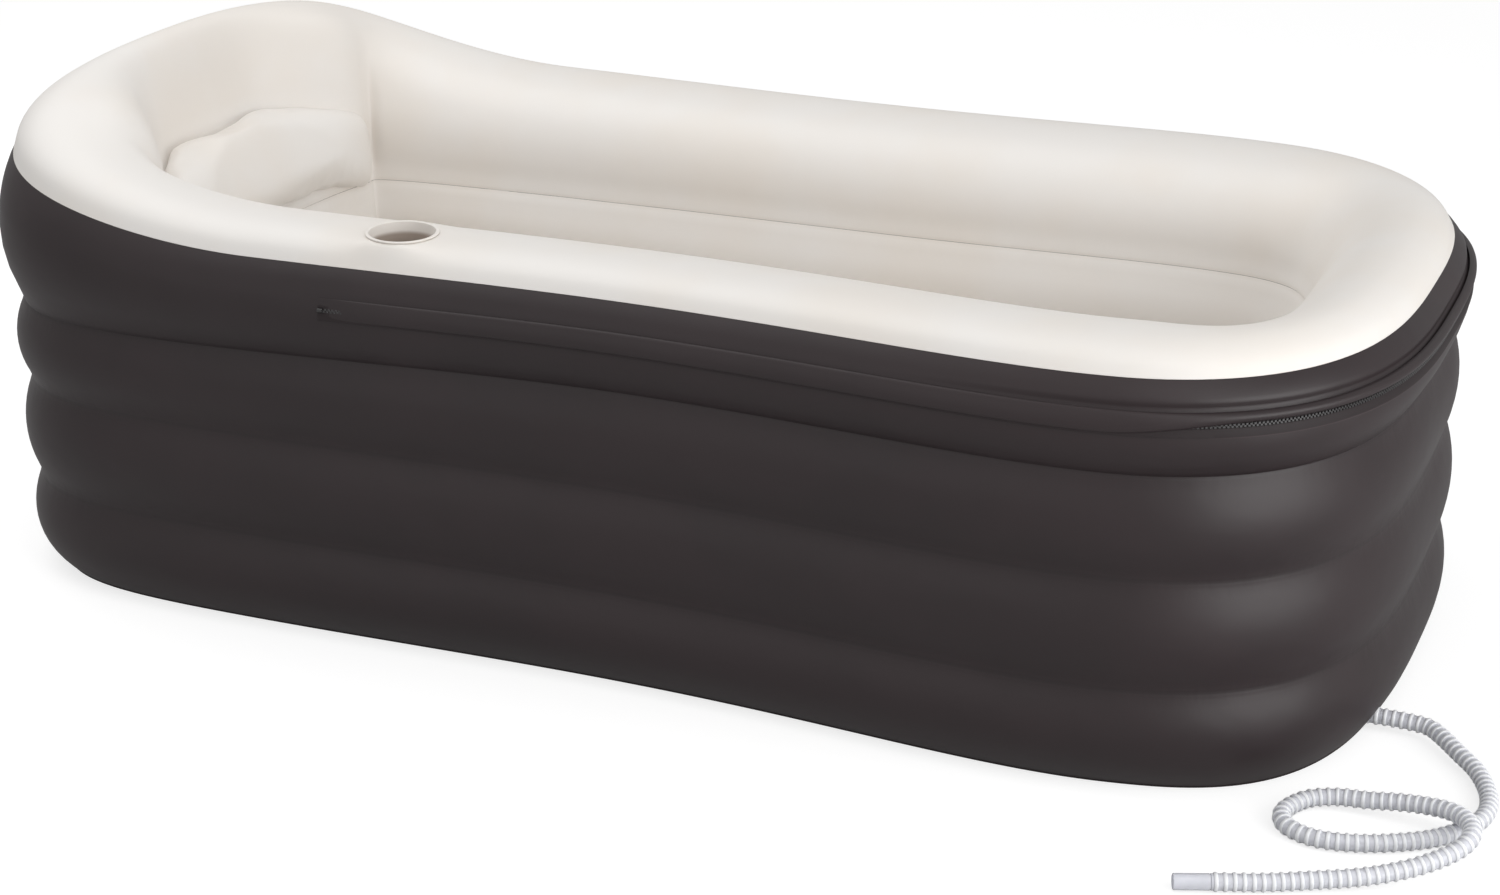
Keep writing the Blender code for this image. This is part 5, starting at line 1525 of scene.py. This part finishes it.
def route_places(route, along, lift, pitch, skip):
    """Frames at even steps along the zip, leaving out a stretch at each end."""
    line = [on_facet(piece, along, lift) for piece in route]
    reached = [0.0]
    for before, after in zip(line, line[1:]):
        reached.append(reached[-1] + (after - before).length)
    count = int((reached[-1] - 2.0 * skip) / pitch)
    frames = []
    index = 0
    for number in range(count):
        wanted = skip + pitch * (number + 0.5)
        while reached[index + 1] < wanted:
            index += 1
        share = (wanted - reached[index]) / (reached[index + 1] - reached[index])
        here = route[index].blend(route[index + 1], share)
        place = on_facet(here, along, lift)
        way = (line[index + 1] - line[index]).normalized()
        up = (on_facet(here, along + 0.001, lift) - place).normalized()
        out = way.cross(up).normalized()
        rows = Matrix((way, out.cross(way), out)).transposed().to_4x4()
        rows.translation = place
        frames.append(rows)
    return frames


class BATHTUB_OT_zip(bpy.types.Operator):
    """Adds the zip's tapes, teeth, end stops and welt"""
    bl_idname = "bathtub.zip"
    bl_label = "Add Zip"

    def execute(self, context):
        route = zip_route()
        lower, teeth, upper, welt = zip_places()
        for name, start, end, node in (
                ("tape_lower", lower, lower + ZIP_LOWER_TAPE_WIDTH, "zip_tape_lower"),
                ("tape_upper", upper, upper + ZIP_UPPER_TAPE_WIDTH, "zip_tape_upper")):
            low = start - HEM_REACH if name == "tape_lower" else start
            # The lower tape's hem rows are marked for the painted highlight along its lower edge.
            tape = strip(name, route, [
                (low, GAP), (end, GAP), (end, 0.0007), (end - 0.0006, 0.0010),
                (low + 0.0010, 0.0010), (low, 0.0007)],
                marked=(0, 5) if low < start else ())
            finish_piece(tape, "tub", "zip_tape_finish", (node,))
        ridge = self.fold(route, welt)
        write_attribute(ridge, "crease_distance", [0.05] * len(ridge.data.vertices))
        finish_piece(ridge, "tub", "dark_vinyl_finish", ("zip_welt",))
        self.add_teeth(route, teeth)
        for name, first, second in (("zip_stop_near", route[0], route[1]),
                                    ("zip_stop_far", route[-1], route[-2])):
            span = (second.point - first.point).length
            ends = [first, first.blend(second, STOP_LENGTH / span)]
            middle = teeth + ZIP_TEETH_WIDTH / 2.0
            half = ZIP_TEETH_WIDTH / 2.0
            shape = strip(name + "_clip", ends, [
                (middle - half, GAP), (middle + half, GAP), (middle + half, 0.0024),
                (middle + half * 0.6, 0.0032), (middle - half * 0.6, 0.0032),
                (middle - half, 0.0024)])
            finish_piece(shape, "tub", "dark_plastic_finish", (name,))
        return {"FINISHED"}

    def fold(self, route, welt):
        """The rounded fold over the zip, held back from the slider's stretch."""
        def place(column, row):
            piece = route[column]
            x, far = piece.point.x, piece.point.y > 0.0
            hold = smooth_step((FOLD_HOLD_X - x) / FOLD_HOLD_REACH) if far else 0.0
            cover = cover_share(piece)
            overhang = FOLD_OVERHANG + (COVER_OVERHANG - FOLD_OVERHANG) * cover
            start = welt - overhang * (1.0 - hold)
            width = welt + WELT_WIDTH - start
            full = FOLD_LEAST_SHARE + (1.0 - FOLD_LEAST_SHARE) * fold_share(piece)
            if not far:
                full *= smooth_step((x - route[0].point.x + COVER_TAPER_LEAD) / COVER_TAPER)
            proud = FOLD_HEIGHT + (WELT_HEIGHT - FOLD_HEIGHT) * max(hold, cover)
            angle = math.pi * (1.0 - row / FOLD_STEPS)
            return on_facet(piece, start + width * (1.0 + math.cos(angle)) / 2.0,
                            GAP + proud * full * math.sin(angle))

        ridge = draped_grid("welt", len(route) - 1, FOLD_STEPS + 1, place, wrap_rows=True)
        close_and_turn_out(ridge, fill=True)
        return ridge

    def add_teeth(self, route, teeth):
        """One tooth, copied along both rows and joined into one piece."""
        pitch = sizes().tooth_pitch
        low, high = -0.5, 0.5
        length = pitch * TOOTH_LENGTH_SHARE
        tooth = box_piece("tooth", (low * length, low * TOOTH_WIDTH, 0.0),
                          (high * length, high * TOOTH_WIDTH, TOOTH_HEIGHT))
        apply_modifier(tooth, "BEVEL", width=TOOTH_BEVEL, segments=1, limit_method="NONE")
        shape = tooth.data
        middle = teeth + ZIP_TEETH_WIDTH / 2.0
        frames = route_places(route, middle, GAP, pitch / 2.0, STOP_LENGTH + GAP)
        points, faces = [], []
        for number, rows in enumerate(frames):
            side = TOOTH_SHIFT if number % 2 else -TOOTH_SHIFT
            shift = rows @ Matrix.Translation((0.0, side, 0.0))
            first = len(points)
            points += [tuple(shift @ vert.co) for vert in shape.vertices]
            faces += [[first + k for k in face.vertices] for face in shape.polygons]
        mesh = bpy.data.meshes.new("teeth")
        mesh.from_pydata(points, [], faces)
        bpy.data.objects.remove(tooth, do_unlink=True)
        chain = bpy.data.objects.new("teeth", mesh)
        bpy.context.scene.collection.objects.link(chain)
        finish_piece(chain, "tub", "dark_plastic_finish", ("zip_teeth",))


class BATHTUB_OT_slider(bpy.types.Operator):
    """Adds the zip's slider and its pull"""
    bl_idname = "bathtub.slider"
    bl_label = "Add Zip Slider"

    def execute(self, context):
        slider = box_piece("slider", (-0.011, -0.005, 0.0024), (0.011, 0.005, 0.0038))
        for side in (-1.0, 1.0):
            low, high = sorted((side * 0.0025, side * 0.005))
            combine(slider, box_piece("side_tool", (-0.011, low, 0.0016), (0.011, high, 0.0030)),
                    "UNION")
        for x0, x1 in ((-0.006, -0.0048), (0.0048, 0.006)):
            combine(slider, box_piece("post_tool", (x0, -0.0011, 0.0035), (x1, 0.0011, 0.0070)),
                    "UNION")
        combine(slider, box_piece("bridge_tool", (-0.006, -0.0011, 0.0062), (0.006, 0.0011, 0.0074)),
                "UNION")
        apply_modifier(slider, "BEVEL", width=0.0004, segments=2, limit_method="ANGLE",
                       angle_limit=SMOOTH_ANGLE)
        set_place(slider, SLIDER_FRAME)
        finish_piece(slider, "zip_slider", "dark_plastic_finish", ("zip_slider",))
        pull = box_piece("pull", (-0.0008, -0.0045, -0.0008), (0.030, 0.0045, 0.0008))
        combine(pull, box_piece("slot_tool", (0.0008, -0.0025, -0.01), (0.011, 0.0025, 0.01)),
                "DIFFERENCE")
        apply_modifier(pull, "BEVEL", width=0.0004, segments=2, limit_method="ANGLE",
                       angle_limit=SMOOTH_ANGLE)
        set_place(pull, PULL_FRAME)
        finish_piece(pull, "zip_pull", "dark_plastic_finish", ("zip_pull",))
        return {"FINISHED"}


class BATHTUB_OT_wall_valve(bpy.types.Operator):
    """Adds the inflation valve: body, screw cap and soft flap"""
    bl_idname = "bathtub.wall_valve"
    bl_label = "Add Wall Valve"

    def execute(self, context):
        body = turned("valve_ring", [
            (VALVE_BORE_RADIUS, VALVE_BACK), (VALVE_BODY_RADIUS, VALVE_BACK),
            (VALVE_BODY_RADIUS, VALVE_FRONT), (VALVE_BORE_RADIUS, VALVE_FRONT)],
            48, ring=True, bevel=0.0005)
        bar = box_piece("bar_tool", (-0.0165, -0.003, VALVE_BACK),
                        (0.0165, 0.003, VALVE_BACK + 0.0025))
        combine(body, bar, "UNION")
        round_hole(body, Matrix.Identity(4), 0.0022, -0.03, -0.015, 24)
        set_place(body, WALL_VALVE_FRAME)
        finish_piece(body, "tub", "dark_plastic_finish", ("wall_valve_body",))
        low = VALVE_FRONT + GAP
        cap = turned("valve_cap", [(0.0112, low), (0.0112, low - 0.006), (0.0127, low - 0.006),
                                   (0.0127, low), (0.0185, low), (0.0185, low + 0.004),
                                   (0.0150, low + 0.004)], 48, bevel=0.0006)
        grip = box_piece("grip_tool", (-0.013, -0.002, low + 0.0037), (0.013, 0.002, low + 0.008))
        apply_modifier(grip, "BEVEL", width=0.0009, segments=3, limit_method="NONE")
        combine(cap, grip, "UNION")
        set_place(cap, WALL_VALVE_FRAME)
        finish_piece(cap, "wall_valve_cap", "dark_plastic_finish",
                     ("wall_valve_cap",))
        seat = VALVE_BACK - GAP
        top = VALVE_BACK + 0.0025 + 0.004 + GAP
        flap = turned("valve_flap", [(0.015, seat - 0.0015), (0.016, seat - 0.0010), (0.016, seat),
                                     (0.0018, seat), (0.0018, top), (0.0030, top),
                                     (0.0030, top + 0.0008), (0.0022, top + 0.0012)], 32)
        set_place(flap, WALL_VALVE_FRAME)
        finish_piece(flap, "wall_valve_flap", "rubber_finish",
                     ("wall_valve_flap",))
        return {"FINISHED"}


class BATHTUB_OT_cushion_valves(bpy.types.Operator):
    """Adds the small valves of the two cushions and their stoppers"""
    bl_idname = "bathtub.cushion_valves"
    bl_label = "Add Cushion Valves"

    def execute(self, context):
        for prefix, place in (("floor", FLOOR_VALVE_FRAME), ("backrest", BACKREST_VALVE_FRAME)):
            body = turned(prefix + "_valve_ring", [
                (0.0040, -0.013), (0.0070, -0.013), (0.0070, 0.0), (0.011, 0.0), (0.011, CUSHION_VALVE_TOP),
                (0.0040, CUSHION_VALVE_TOP)], 32, ring=True, bevel=0.0003)
            set_place(body, place)
            finish_piece(body, "tub", "white_plastic_finish",
                         (prefix + "_valve_body",))
            low = CUSHION_VALVE_TOP + GAP
            head = turned(prefix + "_stopper", [
                (0.0030, low - 0.009), (0.0037, low - 0.008), (0.0037, low), (0.0085, low),
                (0.0085, low + 0.002), (0.0060, low + 0.0021)], 32, bevel=0.0003)
            set_place(head, place)
            finish_piece(head, prefix + "_valve_stopper", "white_plastic_finish",
                         (prefix + "_valve_stopper",))
        return {"FINISHED"}


class BATHTUB_OT_drain(bpy.types.Operator):
    """Adds the drain: inlet with plug, tube and outlet"""
    bl_idname = "bathtub.drain"
    bl_label = "Add Drain"

    def execute(self, context):
        out, into = OUTLET_FACE_X, INLET_FACE_X
        shoulder = out - 0.0115 - 0.018
        spigot = HOSE_BORE_RADIUS * math.cos(math.pi / 8.0) - GAP
        ribs = []
        for rib in range(OUTLET_RIBS):
            foot = out - (OUTLET_RIBS - rib) * OUTLET_RIB_PITCH
            for share, radius in ((0.0, 0.0086), (0.24, 0.0086), (0.34, 0.0094), (0.44, 0.0098),
                                  (0.62, 0.0098), (0.72, 0.0094), (0.82, 0.0086)):
                ribs.append((radius, foot + share * OUTLET_RIB_PITCH))
        outlet = turned("outlet", [
            (0.005, shoulder - 0.012), (0.0066, shoulder - 0.012), (0.0066, shoulder),
            (0.0098, shoulder), *ribs, (0.0086, out), (spigot, out), (spigot, out + 0.010),
            (0.005, out + 0.010)], 32, ring=True)
        write_attribute(outlet, "rib", [
            smooth_step((math.hypot(vert.co.x, vert.co.y) - 0.0086) / 0.0010)
            for vert in outlet.data.vertices])
        set_place(outlet, DRAIN_FRAME)
        finish_piece(outlet, "tub", "hose_finish", ("drain_outlet",))
        inner = into + 0.026
        inlet = turned("inlet", [
            (0.0083, into), (0.012, into), (0.012, inner), (0.0066, inner), (0.0066, inner + 0.012),
            (0.005, inner + 0.012), (0.005, into + 0.0103), (0.0083, into + 0.0103)],
            32, ring=True, bevel=0.0004)
        set_place(inlet, DRAIN_FRAME)
        finish_piece(inlet, "tub", "white_plastic_finish", ("drain_inlet",))
        pipe = turned("pipe", [
            (0.0069, inner + GAP), (0.0085, inner + GAP), (0.0085, shoulder - GAP),
            (0.0069, shoulder - GAP)], 32, ring=True)
        write_attribute(pipe, "crease_distance", [1.0] * len(pipe.data.vertices))
        set_place(pipe, DRAIN_FRAME)
        finish_piece(pipe, "tub", "cream_vinyl_finish", ("drain_tube",))
        high = GAP + 0.002
        plug = turned("plug", [
            (0.0070, -0.010), (0.0080, -0.0085), (0.0080, GAP), (0.011, GAP), (0.011, high),
            (0.0080, high + 0.0001)], 32, bevel=0.0003)
        tab = box_piece("tab_tool", (-0.005, -0.00125, high - GAP), (0.005, 0.00125, high + 0.012))
        apply_modifier(tab, "BEVEL", width=0.0006, segments=2, limit_method="NONE")
        combine(plug, tab, "UNION")
        set_place(plug, PLUG_FRAME)
        finish_piece(plug, "drain_plug", "white_plastic_finish", ("drain_plug",))
        return {"FINISHED"}


class BATHTUB_OT_webs(bpy.types.Operator):
    """Gives the frame's own webs their vinyl finish"""
    bl_idname = "bathtub.webs"
    bl_label = "Finish Webs"

    def execute(self, context):
        for name in ("wall_web_lower", "wall_web_middle", "wall_web_upper"):
            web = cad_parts[name]
            web.data.materials.clear()
            web.data.materials.append(bpy.data.materials["cream_vinyl_finish"])
        return {"FINISHED"}


class BATHTUB_OT_stage(bpy.types.Operator):
    """Adds the floor, the soft lamps and the room light"""
    bl_idname = "bathtub.stage"
    bl_label = "Add Stage"

    def execute(self, context):
        stage = context.scene.bathtub_stage
        deselect_all()
        bpy.ops.mesh.primitive_plane_add(size=STAGE_WIDTH, location=(0.0, 0.0, STAGE_HEIGHT))
        floor = bpy.context.object
        floor.name = "studio_floor"
        select_only(floor)
        bpy.ops.object.transform_apply(location=True)
        made = Finish("studio_floor_finish")
        path = made.tree.nodes.new("ShaderNodeLightPath")
        straight = Value(made, path.outputs["Is Camera Ray"])
        mirrored = Value(made, path.outputs["Is Glossy Ray"])
        through = Value(made, path.outputs["Is Transmission Ray"])
        made.set(Base_Color=(0.45, 0.45, 0.45, 1.0), Roughness=0.9)
        made.shader.inputs["Specular IOR Level"].default_value = 0.0
        seen = straight * 0.72 + mirrored * 0.15 + through * 0.6
        glow = made.node("ShaderNodeCombineColor", {}, {0: seen, 1: seen, 2: seen})
        made.set(Emission_Color=glow)
        made.shader.inputs["Emission Strength"].default_value = 1.0
        floor.data.materials.append(made.material)
        self.add_lamp("overhead_lamp", stage.key, *OVERHEAD_LAMP)
        self.add_lamp("corner_lamp", stage.corner, *CORNER_LAMP)
        self.add_lamp("foot_lamp", stage.side, *FOOT_LAMP)
        self.add_lamp("front_lamp", stage.front, *FRONT_LAMP)
        self.add_world(stage.room)
        context.scene.view_settings.view_transform = "Standard"
        return {"FINISHED"}

    def add_lamp(self, name, power, size, place, target):
        data = bpy.data.lights.new(name, "AREA")
        data.energy = power
        data.size = size
        lamp = bpy.data.objects.new(name, data)
        bpy.context.scene.collection.objects.link(lamp)
        lamp.location = place
        lamp.rotation_euler = (Vector(target) - Vector(place)).to_track_quat("-Z", "Y").to_euler()

    def add_world(self, strength):
        world = bpy.data.worlds.new("studio_room")
        world.use_nodes = True
        bpy.context.scene.world = world
        tree = world.node_tree
        room = tree.nodes["Background"]
        room.inputs["Color"].default_value = (1.0, 1.0, 1.0, 1.0)
        room.inputs["Strength"].default_value = strength
        seen = tree.nodes.new("ShaderNodeBackground")
        seen.inputs["Color"].default_value = (1.0, 1.0, 1.0, 1.0)
        seen.inputs["Strength"].default_value = 1.0
        path = tree.nodes.new("ShaderNodeLightPath")
        mix = tree.nodes.new("ShaderNodeMixShader")
        tree.links.new(path.outputs["Is Camera Ray"], mix.inputs[0])
        tree.links.new(room.outputs[0], mix.inputs[1])
        tree.links.new(seen.outputs[0], mix.inputs[2])
        tree.links.new(mix.outputs[0], tree.nodes["World Output"].inputs["Surface"])


class BATHTUB_PT_panel(bpy.types.Panel):
    """Lists the bathtub's pieces and settings"""
    bl_idname = "BATHTUB_PT_panel"
    bl_label = "Inflatable Bathtub"
    bl_space_type = "VIEW_3D"
    bl_region_type = "UI"
    bl_category = "Bathtub"

    def draw(self, context):
        layout = self.layout
        for group in (context.scene.bathtub_sizes, context.scene.bathtub_colours,
                      context.scene.bathtub_stage):
            column = layout.column(align=True)
            for name in group.__annotations__:
                column.prop(group, name)
        column = layout.column(align=True)
        for operator in OPERATORS:
            column.operator(operator.bl_idname)


OPERATORS = (
    BATHTUB_OT_finishes, BATHTUB_OT_camera, BATHTUB_OT_hose, BATHTUB_OT_outer_wall,
    BATHTUB_OT_rim, BATHTUB_OT_inner_wall, BATHTUB_OT_base, BATHTUB_OT_floor_cushion,
    BATHTUB_OT_backrest, BATHTUB_OT_cup_holder, BATHTUB_OT_zip, BATHTUB_OT_slider,
    BATHTUB_OT_wall_valve, BATHTUB_OT_cushion_valves, BATHTUB_OT_drain, BATHTUB_OT_webs,
    BATHTUB_OT_stage)
CLASSES = (BathtubSizes, BathtubColours, BathtubStage) + OPERATORS + (BATHTUB_PT_panel,)


def register():
    for item in CLASSES:
        bpy.utils.register_class(item)
    bpy.types.Scene.bathtub_sizes = PointerProperty(type=BathtubSizes)
    bpy.types.Scene.bathtub_colours = PointerProperty(type=BathtubColours)
    bpy.types.Scene.bathtub_stage = PointerProperty(type=BathtubStage)


def unregister():
    del bpy.types.Scene.bathtub_stage
    del bpy.types.Scene.bathtub_colours
    del bpy.types.Scene.bathtub_sizes
    for item in reversed(CLASSES):
        bpy.utils.unregister_class(item)


def main():
    register()
    bpy.ops.bathtub.finishes()
    bpy.ops.bathtub.camera()
    bpy.ops.bathtub.hose()
    bpy.ops.bathtub.outer_wall()
    bpy.ops.bathtub.rim()
    bpy.ops.bathtub.inner_wall()
    bpy.ops.bathtub.base()
    bpy.ops.bathtub.floor_cushion()
    bpy.ops.bathtub.backrest()
    bpy.ops.bathtub.cup_holder()
    bpy.ops.bathtub.zip()
    bpy.ops.bathtub.slider()
    bpy.ops.bathtub.wall_valve()
    bpy.ops.bathtub.cushion_valves()
    bpy.ops.bathtub.drain()
    bpy.ops.bathtub.webs()
    bpy.ops.bathtub.stage()


if __name__ == "__main__":
    main()
